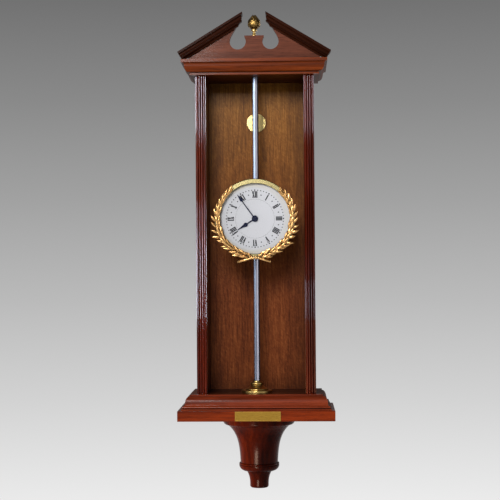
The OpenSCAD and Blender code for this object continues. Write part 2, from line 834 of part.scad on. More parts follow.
module dial() {
    color("#e4e6ea") at_dial() plate_y(-dial_y, dial_t) difference() {
        circle(drum_r - seat_gap);
        circle(hour_pipe_r + 0.8);
    }
}

// Laurel wreath: two branches tied at the bottom, laid on the bezel

// A pointed leaf with a raised midrib, from the origin along +X
module leaf(len, w, h) {
    edge = h * 0.05;
    hull() polyhedron(
        [[0, 0, 0], [len * 0.35, w, edge], [len * 0.35, -w, edge], [len, 0, h * 0.5],
         [len * 0.4, 0, h], [len * 0.4, 0, -h * 0.2],
         [len * 0.7, w * 0.62, 2 * edge], [len * 0.7, -w * 0.62, 2 * edge]],
        [[0, 1, 4], [0, 4, 2], [1, 6, 4], [2, 4, 7], [6, 3, 4], [7, 4, 3],
         [0, 5, 1], [0, 2, 5], [1, 5, 6], [2, 7, 5], [6, 5, 3], [7, 3, 5]]);
}

// A chain of round rods through points, each given as [x, y, z, radius]
module stem(points) {
    for (i = [0:len(points) - 2]) hull() for (p = [points[i], points[i + 1]])
        translate([p[0], p[1], p[2]]) sphere(p[3], $fn = 8);
}

stem_y = -bezel_front - stem_r;
tie_z = -wreath_r + 1.5 * stem_r;
tail_end = wreath_r * [-0.42, -1.133];
lift_rear = stem_r;
lift_front = 3.15 * stem_r;

// The cut end of a branch, which crosses the other one under the tie
module tail(lift, gap = 0) {
    start = polar(wreath_r, branch_from_angle - 90);
    stem([[start[0], stem_y, start[1], stem_r + gap],
          [start[0] * 0.6, stem_y - lift, tie_z, stem_r + gap],
          [0, stem_y - lift, tie_z, stem_r + gap],
          [tail_end[0], stem_y - lift + stem_r / 2, tail_end[1], stem_r * 1.6 + gap]]);
}

// The right branch: leaves in threes along an arc that closes in, with berries between them
module wreath_branch(lift) {
    stem_seg = 14;
    first = branch_from_angle + 8;
    span = branch_to_angle - first;
    turn = branch_to_angle - branch_from_angle;
    function on_stem(a, out = 0) = polar(wreath_r * (1 - 0.0005 * a) + out, a - 90);
    color(gilt) at_dial() difference() {
        union() {
            stem([for (i = [0:stem_seg])
                let (p = on_stem(branch_from_angle + turn * i / stem_seg))
                [p[0], stem_y, p[1], stem_r]]);
            for (i = [0:leaf_pairs - 1], side = [-1, 0, 1]) {
                along = i / leaf_pairs;
                a = first + span * (i + 0.33 * side) / (leaf_pairs - 0.5);
                p = on_stem(a);
                size = (side == 0 ? 0.9 : 1) * (1 - 0.2 * along);
                lean = side * (40 - 22 * along);
                translate([p[0], stem_y - stem_r * (side == 0 ? 1.3 : 0.23), p[1]])
                    rotate([0, lean - a - 6 * sin(i * 137), 0])
                    rotate([90 - side * 20, 8, 0]) leaf(leaf_len * size, leaf_w * size, leaf_t);
            }
            for (i = [0:2:leaf_pairs - 2], way = [-1, 1]) {
                a = first + span * (i + (way > 0 ? 0.5 : 1.5)) / leaf_pairs;
                p = on_stem(a, way * 1.7 * stem_r);
                translate([p[0], stem_y - stem_r * 0.85, p[1]]) sphere(berry_r, $fn = 8);
            }
            tail(lift);
        }
        translate([-2 * wreath_r, -bezel_front, -2 * wreath_r])
            cube([4 * wreath_r, 4 * stem_r, 4 * wreath_r]);
    }
}

// Four slanted turns of a flat band round the crossing stems
module wreath_tie() {
    band = 2.8 * stem_r;
    pitch = 1.13 * band;
    slant = 15;
    high = 3 * stem_r;
    deep = (lift_front - lift_rear) / 2 + 1.46 * stem_r;
    mid_y = stem_y - (lift_front + lift_rear) / 2;
    color(gilt) at_dial() difference() {
        for (i = [-1.5:1:1.5]) translate([i * pitch, mid_y, tie_z]) rotate([0, slant, 0])
            translate([-band / 2, 0, 0]) rotate([0, 90, 0]) linear_extrude(band)
                scale([high / deep, 1]) circle(deep, $fn = 24);
        tail(lift_front, seat_gap);
        mirror([1, 0, 0]) tail(lift_rear, seat_gap);
    }
}

// Gearing: straight-sided teeth with backlash, one tooth centred on +X

module gear(n, m) {
    step = 360 / n;
    r_tip = m * (n / 2 + 0.75);
    r_root = m * (n / 2 - 1.15);
    polygon([for (i = [0:n - 1])
        each [polar(r_root, (i - 0.24) * step), polar(r_tip, (i - 0.09) * step),
              polar(r_tip, (i + 0.09) * step), polar(r_root, (i + 0.24) * step)]]);
}

// A crossed-out wheel: rim, four arms and a hub, with a hole of its own radius
module wheel(n, m, rim, hub, arm, hole) {
    r_in = m * (n / 2 - 1.15) - rim;
    difference() {
        gear(n, m);
        difference() {
            circle(r_in);
            circle(hub);
            for (a = [0, 90]) rotate(a) square([2 * r_in, arm], center = true);
        }
        circle(hole);
    }
}

// A pair in mesh: the follower's gap faces the driver's tooth along the line of centres
module toothed_at(p, towards, offset = 0) {
    translate([p[0], 0, p[1]]) rotate([0, -angle_of(towards - p) - offset, 0]) children();
}

module shaft(y_rear, len, r) {
    plate_y(y_rear, len) circle(r, $fn = 48);
}

// Teeth of each wheel and of the pinion that it turns
great_n = 72;
inter_pinion_n = 12;
inter_n = 36;
idler_n = 20;
centre_pinion_n = 12;
centre_n = 80;
third_pinion_n = 10;
third_n = 75;
fourth_pinion_n = 10;
fourth_n = 100;
escape_pinion_n = 10;
escape_teeth = 15;
cannon_n = 12;
minute_n = 36;
minute_pinion_n = 12;
hour_n = 48;
cannon_m = 0.5;
hour_m = cannon_m * (cannon_n + minute_n) / (minute_pinion_n + hour_n);

// Places of the arbors, from the dial's centre, in X and Z
drive_p = [rack_line_x - rack_m * drive_teeth / 2, drive_w];
centre_p = [0, 0];
idler_p = polar(inter_m * (idler_n + centre_pinion_n) / 2, -60);
inter_p = meet(idler_p, inter_m * (inter_n + idler_n) / 2,
               drive_p, great_m * (great_n + inter_pinion_n) / 2);
// How far a tooth of the idler, which is set by the intermediate wheel, stands from the centre arbor
idler_over = angle_of(inter_p - idler_p) + 180 / idler_n - angle_of(centre_p - idler_p);
third_p = polar(centre_m * (centre_n + third_pinion_n) / 2, 115);
fourth_p = third_p + polar(third_m * (third_n + fourth_pinion_n) / 2, 20);
escape_p = fourth_p + polar(fourth_m * (fourth_n + escape_pinion_n) / 2, 60);
lever_p = escape_p + polar(escape_r + 2.4, 160);
balance_p = lever_p + polar(balance_r + 2.6, 150);
minute_p = polar(cannon_m * (cannon_n + minute_n) / 2, -30);
pillar_places = [for (a = [45, 135, 200, 340]) polar(plate_r - pillar_r * 2.2, a)];
roller_r = 5;
roller_p = [rod_r + pass_gap + roller_r, drive_w];
post_x = 26;
bridge_y = rod_y - rod_r - 5;
hour_pipe_r = centre_r + 2.1;
cannon_r = centre_r + 0.8;

// The arbors and how thick each is, as [place, radius]
arbors = [[drive_p, drive_r], [inter_p, arbor_r], [centre_p, centre_r], [third_p, arbor_r],
          [fourth_p, arbor_r], [escape_p, arbor_r * 0.7], [lever_p, arbor_r * 0.7],
          [balance_p, arbor_r * 0.6]];

// An arbor from plate to plate, at its place
module arbor(p, r) {
    translate([p[0], 0, p[1]]) shaft(-back_y + plate_t, plate_gap + 2 * plate_t, r);
}

module front_plate() {
    color(brass) at_dial() {
        plate_y(-front_y + plate_t, plate_t) difference() {
            circle(drum_r - drum_t - seat_gap);
            for (a = arbors) translate(a[0]) circle(a[1] + run_gap, $fn = 48);
            for (p = pillar_places) translate(p) circle(pillar_r * 0.6 + seat_gap, $fn = 32);
        }
        translate([minute_p[0], 0, minute_p[1]]) shaft(-front_y + eps, 4.6, arbor_r);
    }
}

module back_plate() {
    color(brass) at_dial() {
        plate_y(-back_y + plate_t, plate_t) difference() {
            circle(plate_r);
            for (a = arbors) translate(a[0]) circle(a[1] + run_gap, $fn = 48);
            translate(roller_p) circle(arbor_r + run_gap, $fn = 48);
            for (p = pillar_places) translate(p) circle(pillar_r * 0.6 + seat_gap, $fn = 32);
        }
        translate([idler_p[0], 0, idler_p[1]])
            shaft(-back_y + eps, -layer(0.83) - back_y + 3.2, centre_r);
    }
}

// Turned pillars with a shouldered end in each plate
module pillars() {
    color(brass) at_dial() for (p = pillar_places) translate([p[0], 0, p[1]]) {
        shaft(-back_y, plate_gap, pillar_r);
        shaft(-back_y + plate_t + 2, plate_gap + 2 * plate_t + 4, pillar_r * 0.6);
    }
}

module pillar_nuts() {
    color(steel) at_dial() for (p = pillar_places) translate([p[0], 0, p[1]])
        for (y = [-back_y + plate_t + 2, -front_y]) plate_y(y, 2) difference() {
            circle(pillar_r * 1.3, $fn = 6);
            circle(pillar_r * 0.6 + seat_gap, $fn = 32);
        }
}

module guide_bushes() {
    bore = rod_r + run_gap;
    color(brass) at_dial() for (s = [0, 1]) mirror([0, 0, s])
        translate([0, -rod_y, drum_r]) difference() {
            union() {
                translate([0, 0, -bush_len + 4]) cylinder(h = bush_len, r = bore + bush_t);
                translate([0, 0, 2]) cylinder(h = 2, r = bore + bush_t + bush_flange);
            }
            translate([0, 0, -bush_len + 4 - eps]) cylinder(h = bush_len + 2 * eps, r = bore);
        }
}

// The rear bearing of the drive arbor and the pressure roller
module bridge() {
    color(brass) at_dial() plate_y(-bridge_y + plate_t, plate_t) difference() {
        translate([-post_x - 5, drive_w - 8]) square([2 * post_x + 10, 16]);
        translate(drive_p) circle(drive_r + run_gap, $fn = 48);
        translate(roller_p) circle(arbor_r + run_gap, $fn = 48);
        for (x = [-post_x, post_x])
            translate([x, drive_w]) circle(pillar_r * 0.6 + seat_gap, $fn = 32);
    }
}

module bridge_posts() {
    color(brass) at_dial() for (x = [-post_x, post_x]) translate([x, 0, drive_w]) {
        shaft(-bridge_y, back_y - plate_t - bridge_y, pillar_r);
        shaft(-bridge_y + plate_t + 1.5, plate_t + 2, pillar_r * 0.6);
    }
}

module pressure_roller() {
    color(steel) at_dial() translate([roller_p[0], 0, roller_p[1]]) {
        shaft(-rod_y + 4, 8, roller_r);
        shaft(-bridge_y + plate_t, back_y - bridge_y + plate_t, arbor_r);
    }
}

// Ratchet and its click
ratchet_r = 7.5;
ratchet_n = 20;
ratchet_y = layer(0.55);
great_y = layer(0.63);

module ratchet() {
    step = 360 / ratchet_n;
    polygon([for (i = [0:ratchet_n - 1])
        each [polar(ratchet_r, i * step), polar(ratchet_r - 1.3, (i + 0.12) * step)]]);
}

module drive_arbor() {
    color(steel) at_dial() {
        arbor(drive_p, drive_r);
        translate([drive_p[0], 0, drive_p[1]])
            shaft(-bridge_y + plate_t, back_y - bridge_y + eps, drive_r);
        toothed_at(drive_p, drive_p + [1, 0]) plate_y(-rod_y + 4, 8) gear(drive_teeth, rack_m);
        toothed_at(drive_p, drive_p + [0, 1]) plate_y(ratchet_y, 2) ratchet();
    }
}

module great_wheel() {
    color(brass) at_dial() {
        toothed_at(drive_p, inter_p) plate_y(great_y, 2)
            wheel(great_n, great_m, 2.6, 16, 3, drive_r + run_gap);
        translate([drive_p[0], 0, drive_p[1]]) translate([click_at[0], 0, click_at[1]])
            shaft(great_y - 2 + eps, 3, 1);
    }
}

click_at = [0, 13];

// A pawl held just clear of the ratchet's tips, on a stud of the great wheel
module click() {
    tip = polar(ratchet_r + pass_gap + 0.7, 50);
    color(steel) at_dial() translate([drive_p[0], 0, drive_p[1]]) plate_y(ratchet_y, 1.6) difference() {
        union() {
            translate(click_at) circle(2.2, $fn = 48);
            bar(click_at, tip, 1.6);
        }
        translate(click_at) circle(1 + run_gap, $fn = 32);
        circle(ratchet_r + pass_gap);
    }
}

module pinion_at(p, towards, n, m, y, t, hole = 0) {
    toothed_at(p, towards, 180 / n) plate_y(y, t) difference() {
        gear(n, m);
        if (hole > 0) circle(hole, $fn = 48);
    }
}

module intermediate_wheel() {
    color(brass) at_dial() {
        arbor(inter_p, arbor_r);
        pinion_at(inter_p, drive_p, inter_pinion_n, great_m, great_y + 1, 4);
        toothed_at(inter_p, idler_p) plate_y(layer(0.83), 1.6)
            wheel(inter_n, inter_m, 1.6, 3.2, 1.8, arbor_r - eps);
    }
}

// It turns on a stud of the rear plate and lets the hands run clockwise as the clock sinks
module idler_wheel() {
    color(brass) at_dial() pinion_at(idler_p, inter_p, idler_n, inter_m, layer(0.83) + 0.4,
                                     2.4, centre_r + run_gap);
}

module centre_wheel() {
    color(brass) at_dial() {
        shaft(-back_y + plate_t, glass_y - 0.5 - back_y + plate_t, centre_r);
        toothed_at(centre_p, idler_p, (180 - idler_over * idler_n) / centre_pinion_n)
            plate_y(layer(0.83) + 1, 3.6) gear(centre_pinion_n, inter_m);
        toothed_at(centre_p, third_p) plate_y(layer(0.15), 1.2)
            wheel(centre_n, centre_m, 1.4, 3.4, 1.5, centre_r - eps);
    }
}

module third_wheel() {
    color(brass) at_dial() {
        arbor(third_p, arbor_r);
        pinion_at(third_p, centre_p, third_pinion_n, centre_m, layer(0.17), 3);
        toothed_at(third_p, fourth_p) plate_y(layer(0.32), 1)
            wheel(third_n, third_m, 1.2, 2.6, 1.2, arbor_r - eps);
    }
}

module fourth_wheel() {
    color(brass) at_dial() {
        arbor(fourth_p, arbor_r);
        pinion_at(fourth_p, third_p, fourth_pinion_n, third_m, layer(0.34), 3);
        toothed_at(fourth_p, escape_p) plate_y(layer(0.46), 0.9)
            wheel(fourth_n, fourth_m, 1, 2.4, 1.1, arbor_r - eps);
    }
}

escape_y = layer(0.62);

module escape_wheel() {
    step = 360 / escape_teeth;
    color(brass) at_dial() {
        arbor(escape_p, arbor_r * 0.7);
        pinion_at(escape_p, fourth_p, escape_pinion_n, fourth_m, layer(0.48), 3);
        translate([escape_p[0], 0, escape_p[1]]) plate_y(escape_y, 0.6) difference() {
            polygon([for (i = [0:escape_teeth - 1])
                each [polar(escape_r * 0.78, i * step), polar(escape_r, (i + 0.45) * step),
                      polar(escape_r, (i + 0.55) * step), polar(escape_r * 0.78, (i + 0.6) * step)]]);
            difference() {
                circle(escape_r * 0.62);
                circle(1.6, $fn = 48);
                for (a = [0, 90]) rotate(a) square([escape_r * 2, 0.8], center = true);
            }
        }
    }
}

// An anchor over the escape wheel with a forked arm towards the balance
module pallet_lever() {
    way = angle_of(lever_p - escape_p);
    fork = angle_of(balance_p - lever_p);
    fork_len = norm(balance_p - lever_p) - 1.6;
    color(steel) at_dial() {
        arbor(lever_p, arbor_r * 0.7);
        plate_y(escape_y + 0.1, 0.8) difference() {
            union() {
                translate(lever_p) circle(1.7, $fn = 48);
                for (s = [-1, 1]) bar(lever_p, escape_p + polar(escape_r + 1.1, way + s * 42), 1.3);
                bar(lever_p, lever_p + polar(fork_len, fork), 1.2);
                translate(lever_p) rotate(fork) translate([fork_len - 1.2, -1.3]) square([1.4, 2.6]);
            }
            translate(escape_p) circle(escape_r + pass_gap);
            translate(lever_p) rotate(fork) translate([fork_len - 0.6, -0.5]) square([2, 1]);
        }
    }
}

module balance_wheel() {
    rim_y = layer(0.76);
    color(brass) at_dial() {
        arbor(balance_p, arbor_r * 0.6);
        translate([balance_p[0], 0, balance_p[1]]) {
            plate_y(rim_y, 1.6) difference() {
                circle(balance_r);
                difference() {
                    circle(balance_r - 1.2);
                    circle(1.6, $fn = 48);
                    square([balance_r * 2, 1.4], center = true);
                }
            }
            plate_y(escape_y + 1.4, 0.9) circle(2.2, $fn = 48);
            for (a = [0:30:330]) rotate([0, a, 0]) translate([balance_r - eps, rim_y - 0.8, 0])
                rotate([0, 90, 0]) cylinder(h = 0.8, r = 0.5, $fn = 16);
        }
    }
}

// A flat spiral strip from the collet to the stud
module hairspring() {
    steps = 24;
    turns = hair_turns + 0.5;
    r0 = 1.5;
    r1 = balance_r - 2.2;
    function at(i, off) = polar(r0 + (r1 - r0) * i / (turns * steps) + off, i * 360 / steps);
    last = turns * steps;
    color(dark_steel) at_dial() translate([balance_p[0], 0, balance_p[1]]) plate_y(layer(0.84), 0.6) {
        polygon(concat([for (i = [0:last]) at(i, 0.12)], [for (i = [last:-1:0]) at(i, -0.12)]));
        difference() {
            circle(r0, $fn = 48);
            circle(arbor_r * 0.6 + seat_gap, $fn = 32);
        }
    }
}

// Motion work and hands

minute_angle = minutes * 6;
hour_angle = hours * 30 + minutes / 2;
hour_y = -dial_face - 0.9;
minute_y = hour_y - hand_t - 0.5;
cannon_y = -front_y - 0.5;

module cannon_pinion() {
    color(steel) at_dial() difference() {
        union() {
            toothed_at(centre_p, minute_p) plate_y(cannon_y, 1.6) gear(cannon_n, cannon_m);
            shaft(cannon_y, -minute_y + hand_t + cannon_y, cannon_r);
        }
        shaft(cannon_y + 1, 40, centre_r + run_gap);
    }
}

module minute_hand() {
    head = minute_len * 0.27;
    color(dark_steel) at_dial() rotate([0, minute_angle, 0]) difference() {
        union() {
            plate_y(minute_y, hand_t) {
                circle(boss_r);
                polygon([[-1.1, 0], [1.1, 0], [0.8, minute_len - head + 1],
                         [-0.8, minute_len - head + 1]]);
                translate([0, minute_len - head])
                    polygon([[-1.6, 0], [1.6, 0], [2.7, 2], [2.3, 4.5], [0.15, head], [-0.15, head],
                             [-2.3, 4.5], [-2.7, 2]]);
            }
            plate_y(minute_y - hand_t + eps, 0.6) circle(boss_r * 0.62, $fn = 64);
        }
        shaft(minute_y + 1, 40, cannon_r);
    }
}

module minute_wheel() {
    color(brass) at_dial() {
        pinion_at(minute_p, centre_p, minute_n, cannon_m, cannon_y - 0.3, 1, arbor_r + run_gap);
        toothed_at(minute_p, centre_p) plate_y(cannon_y - 1.3 + eps, 2.4) difference() {
            gear(minute_pinion_n, hour_m);
            circle(arbor_r + run_gap, $fn = 48);
        }
    }
}

// The hour wheel, its pipe and the hour hand turn together
module hour_hand() {
    wheel_y = cannon_y - 1.9;
    color(dark_steel) at_dial() {
        difference() {
            union() {
                pinion_at(centre_p, minute_p, hour_n, hour_m, wheel_y, 1);
                shaft(wheel_y, -hour_y + hand_t + wheel_y, hour_pipe_r);
                rotate([0, hour_angle, 0]) plate_y(hour_y, hand_t) {
                    circle(boss_r * 0.8);
                    polygon([[-1.2, 0], [1.2, 0], [0.9, hour_len * 0.5], [-0.9, hour_len * 0.5]]);
                    translate([0, hour_len * 0.52]) circle(3.8, $fn = 48);
                    polygon([[-2.5, hour_len * 0.59], [2.5, hour_len * 0.59], [1.3, hour_len * 0.75],
                             [0.3, hour_len], [-0.3, hour_len], [-1.3, hour_len * 0.75]]);
                }
            }
            shaft(wheel_y + 1, 40, cannon_r + run_gap);
        }
    }
}

backboard();
mirror([1, 0, 0]) side_panel();  // side_panel_left
side_panel();  // side_panel_right
mirror([1, 0, 0]) pilaster();  // pilaster_left
pilaster();  // pilaster_right
soffit_board();
top_board();
cornice_front();
mirror([1, 0, 0]) cornice_return();  // cornice_return_left
cornice_return();  // cornice_return_right
pediment_board();
raking_moulding();  // raking_moulding_left
mirror([1, 0, 0]) raking_moulding();  // raking_moulding_right
finial();
finial_stem();
base_block();
base_moulding_front();
mirror([1, 0, 0]) base_moulding_side();  // base_moulding_left
base_moulding_side();  // base_moulding_right
base_slab();
slab_screws();
plaque();
pendant();
rack_rod();
rod_foot();
rod_knob();
wall_disc();
drum();
drum_back();
bezel();
dial_glass();
sight_ring();
dial();
mirror([1, 0, 0]) wreath_branch(lift_rear);  // wreath_left
wreath_branch(lift_front);  // wreath_right
wreath_tie();
front_plate();
back_plate();
pillars();
union() {  // head_fasteners
    back_screws();
    pillar_nuts();
}
guide_bushes();
bridge();
bridge_posts();
pressure_roller();
drive_arbor();
great_wheel();
click();
intermediate_wheel();
idler_wheel();
centre_wheel();
third_wheel();
fourth_wheel();
escape_wheel();
pallet_lever();
balance_wheel();
hairspring();
cannon_pinion();
minute_hand();
minute_wheel();
hour_hand();
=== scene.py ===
# %% [markdown]
# # A gravity rack clock
# A gravity clock has no spring to wind. Its round head slides down a steel rod, and the weight of
# the head drives the hands through a rack that is cut along the rod. This lesson dresses the clock:
# polished mahogany, gilt leaves, lacquered brass, a printed dial and blued hands.
# The measured solids come in first, and every later piece is placed from them.

# %% The measured frame
import bpy, bmesh, math, random
from mathutils import Matrix, Vector


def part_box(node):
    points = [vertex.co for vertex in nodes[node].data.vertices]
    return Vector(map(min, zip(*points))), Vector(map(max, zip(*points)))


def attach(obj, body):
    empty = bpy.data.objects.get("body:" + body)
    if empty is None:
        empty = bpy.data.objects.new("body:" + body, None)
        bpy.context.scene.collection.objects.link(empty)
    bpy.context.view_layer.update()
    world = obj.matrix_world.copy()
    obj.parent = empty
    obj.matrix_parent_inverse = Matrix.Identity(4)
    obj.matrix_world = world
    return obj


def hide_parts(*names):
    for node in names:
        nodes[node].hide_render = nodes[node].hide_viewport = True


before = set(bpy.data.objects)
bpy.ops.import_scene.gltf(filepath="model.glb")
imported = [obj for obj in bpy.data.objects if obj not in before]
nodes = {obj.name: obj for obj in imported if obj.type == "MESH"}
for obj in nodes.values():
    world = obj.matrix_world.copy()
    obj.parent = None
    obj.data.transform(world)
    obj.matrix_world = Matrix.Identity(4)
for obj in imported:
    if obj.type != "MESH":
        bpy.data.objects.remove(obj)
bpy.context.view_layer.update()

# %% [markdown]
# ## The camera
# The photograph was taken from a little over two metres, from just below the middle of the dial and
# slightly to the right. The lens is long, so the upright lines stay almost parallel. A camera could
# be aimed with a constraint, but a matrix made from its three angles also keeps the small roll. The
# numbers come from matching corners of the case to the photograph.

# %% Camera
EYE = Vector((0.0702, -2.3652, -0.2861))
YAW, PITCH, ROLL = (math.radians(angle) for angle in (-2.036, 1.156, -0.393))
FOCAL_LENGTH, SENSOR_WIDTH = 90.36, 36

ahead = Vector((math.sin(YAW) * math.cos(PITCH), math.cos(YAW) * math.cos(PITCH), math.sin(PITCH)))
level = Vector((math.cos(YAW), -math.sin(YAW), 0))
above = level.cross(ahead)
right = math.cos(ROLL) * level + math.sin(ROLL) * above
up = -math.sin(ROLL) * level + math.cos(ROLL) * above
lens = bpy.data.cameras.new("photo_camera")
lens.lens, lens.sensor_width = FOCAL_LENGTH, SENSOR_WIDTH
camera = bpy.data.objects.new("photo_camera", lens)
camera.matrix_world = Matrix((
    (right.x, up.x, -ahead.x, EYE.x), (right.y, up.y, -ahead.y, EYE.y),
    (right.z, up.z, -ahead.z, EYE.z), (0, 0, 0, 1)))
bpy.context.scene.collection.objects.link(camera)
bpy.context.scene.camera = camera
bpy.context.scene.view_settings.view_transform = "Standard"
print("camera", round(EYE.length, 2), "m from the wall screw")

# %% [markdown]
# ## Building materials from nodes
# A material is a small network of nodes, and so is the light of the world. Linking each node by hand
# would hide the idea behind the wiring, so these helpers keep it short to read: one adds a node with
# its inputs, one feeds a socket, and the others are the small sums that most finishes share.

# %% Helpers for any network
MIX_SHARE, MIX_FIRST, MIX_SECOND, MIX_RESULT = 0, 6, 7, 2

class Network:
    def __init__(self, tree):
        self.tree = tree

    def add(self, kind, settings=None, **inputs):
        node = self.tree.nodes.new("ShaderNode" + kind)
        for key, value in (settings or {}).items():
            setattr(node, key, value)
        for key, value in inputs.items():
            self.feed(node, key.replace("_", " "), value)
        return node

    def feed(self, node, socket, value):
        if isinstance(value, bpy.types.NodeSocket):
            self.tree.links.new(value, node.inputs[socket])
        else:
            node.inputs[socket].default_value = value

    def math(self, operation, a, b=0.0, clamp=False):
        node = self.add("Math", {"operation": operation, "use_clamp": clamp})
        self.feed(node, 0, a)
        self.feed(node, 1, b)
        return node.outputs[0]

    def ramp(self, value, *stops):
        node = self.add("ValToRGB", Fac=value)
        steps = node.color_ramp.elements
        while len(steps) < len(stops):
            steps.new(1.0)
        for step, (place, colour) in zip(steps, stops):
            step.position, step.color = place, (*colour, 1)
        return node.outputs[0]

    def fade(self, value, low, high, kind="LINEAR", to=(0, 1)):
        node = self.add("MapRange", {"interpolation_type": kind}, Value=value)
        for socket, limit in (("From Min", low), ("From Max", high), ("To Min", to[0]), ("To Max", to[1])):
            self.feed(node, socket, limit)
        return node.outputs[0]

print("helpers for networks ready")

# %% [markdown]
# Object coordinates are used throughout, because an object's own place is measured in metres. A
# pattern then keeps its real size on every piece, with no unwrapping.

# %% Helpers for finishes
AO_RAYS, BEVEL_RAYS, EDGE_GAIN = 8, 6, 4.0
WHITE = (1, 1, 1)

class Finish(Network):
    def __init__(self, name):
        self.material = bpy.data.materials.new(name)
        self.material.use_nodes = True
        super().__init__(self.material.node_tree)
        self.shader = self.tree.nodes["Principled BSDF"]

    def own_place(self):
        return self.add("TexCoord").outputs["Object"]

    def along(self, axis, spot=None):
        return self.add("SeparateXYZ", Vector=self.own_place() if spot is None else spot).outputs[axis]

    def place(self, scale=(1, 1, 1), turn=(0, 0, 0)):
        spot = self.own_place()
        if any(turn):
            rotate = self.add("VectorRotate", {"rotation_type": "EULER_XYZ"}, Vector=spot, Rotation=turn)
            spot = rotate.outputs[0]
        return self.add("Mapping", Vector=spot, Scale=scale).outputs[0]

    def vector(self, operation, a, b=None):
        node = self.add("VectorMath", {"operation": operation})
        self.feed(node, 0, a)
        if b is not None:
            self.feed(node, 1, b)
        return node.outputs["Value" if operation in ("DOT_PRODUCT", "LENGTH") else "Vector"]

    def mix(self, share, a, b, blend="MIX"):
        node = self.add("Mix", {"data_type": "RGBA", "blend_type": blend})
        for socket, value in ((MIX_SHARE, share), (MIX_FIRST, a), (MIX_SECOND, b)):
            self.feed(node, socket, value)
        return node.outputs[MIX_RESULT]

    def noise(self, spot, scale, detail=4.0, roughness=0.55, distortion=0.0):
        return self.add("TexNoise", Vector=spot, Scale=scale, Detail=detail, Roughness=roughness,
                        Distortion=distortion).outputs["Fac"]

    def weigh(self, *parts):
        shares = [self.math("MULTIPLY", value, share) for value, share in parts]
        total = shares[0]
        for share in shares[1:]:
            total = self.math("ADD", total, share)
        return total

    def bump(self, height, distance, strength=1.0, onto=None):
        node = self.add("Bump", Height=height, Distance=distance, Strength=strength)
        if onto is not None:
            self.feed(node, "Normal", onto)
        return node.outputs[0]

    def corners(self, distance, local=True):
        node = self.add("AmbientOcclusion", {"samples": AO_RAYS, "only_local": local}, Distance=distance)
        return node.outputs["AO"]

    def edges(self, radius):
        rounded = self.add("Bevel", {"samples": BEVEL_RAYS}, Radius=radius).outputs[0]
        flat = self.add("NewGeometry").outputs["Normal"]
        agreement = self.vector("DOT_PRODUCT", rounded, flat)
        return self.math("MULTIPLY", self.math("SUBTRACT", 1.0, agreement), EDGE_GAIN, True)

    def done(self, **sockets):
        for key, value in sockets.items():
            self.feed(self.shader, key.replace("_", " "), value)
        return self.material

print("helpers for finishes ready")

# %% [markdown]
# ## Mahogany
# The case is French polished mahogany. Close up it has three layers: broad darker bands that follow
# the growth of the tree, short dark pores that run along the grain, and a clear hard polish on top.
# A photograph of wood would show its joins and carry its own light, so noise is stretched along the
# grain instead. One function makes it for any direction, because a moulding, an upright and a turned
# pendant are each cut along their own length.

# %% Polished mahogany
SHADES = (0.30, 0.26, 0.24), (1.0, 1.0, 1.0), (1.9, 2.15, 2.3)
ALONG = {"x": (0.05, 1, 1), "y": (1, 0.05, 1), "z": (1, 1, 0.05)}
BANDS, STREAKS, PORES = 38, 190, 1100
PORE_DEPTH, STREAK_DEPTH = 0.00006, 0.0003
DUST_AND_SHADE_REACH, EDGE_HIGHLIGHT_REACH = 0.007, 0.0009
PORE_SHADE, DUST_AND_SHADE, SEAM_SHADE = (0.35, 0.3, 0.28), (0.14, 0.08, 0.06), (0.10, 0.06, 0.05)
WOOD_EDGE_HIGHLIGHT = (1.5, 1.8, 2.1, 1)

def mahogany(name, grain, colour, turn=(0, 0, 0), rough=0.3, seed=0.0, polish=0.07, contrast=1.0,
             coat=0.10, seam=0.0):
    net = Finish(name)
    spot = net.vector("ADD", net.place(ALONG[grain], turn), (seed, seed * 1.7, seed * 0.6))
    bands = net.noise(spot, BANDS, 3, 0.5, 0.6)
    streaks = net.noise(spot, STREAKS, 4, 0.6, 0.2)
    pores = net.noise(spot, PORES, 2, 0.6)
    dark, middle, light = [[c * w for c, w in zip(colour, shade)] for shade in SHADES]
    reach = 0.17 / contrast
    figure = net.weigh((bands, 0.58), (streaks, 0.42))
    tint = net.ramp(figure, (0.5 - reach, dark), (0.50, middle), (0.5 + reach, light))
    pits = net.ramp(pores, (0.36, PORE_SHADE), (0.46, WHITE))
    tint = net.mix(0.5, tint, pits, "MULTIPLY")
    # Dust and painted shade: the wood turns darker where a corner or crease closes in round it.
    dust_and_shade = net.ramp(net.corners(DUST_AND_SHADE_REACH), (0.25, DUST_AND_SHADE), (0.85, WHITE))
    tint = net.mix(0.85, tint, dust_and_shade, "MULTIPLY")
    # Painted shade in the seam: darker where the base moulding meets the slab.
    if seam:
        seam_shade = net.ramp(net.corners(seam, False), (0.30, SEAM_SHADE), (0.62, WHITE))
        tint = net.mix(0.9, tint, seam_shade, "MULTIPLY")
    # Painted highlight: the wood turns paler and bluer along its edges.
    edge_highlight = net.mix(1.0, tint, WOOD_EDGE_HIGHLIGHT, "MULTIPLY")
    tint = net.mix(net.math("MULTIPLY", net.edges(EDGE_HIGHLIGHT_REACH), 0.5), tint, edge_highlight)
    gloss = net.math("ADD", net.math("MULTIPLY", streaks, 0.22), rough - 0.08)
    relief = net.bump(pits, PORE_DEPTH, 0.3, net.bump(streaks, STREAK_DEPTH, 0.2))
    return net.done(Base_Color=tint, Roughness=gloss, Normal=relief, Coat_Weight=polish,
                    Coat_Roughness=coat, Specular_IOR_Level=polish)

print("mahogany ready, with bands of about", round(1000 / BANDS), "mm")
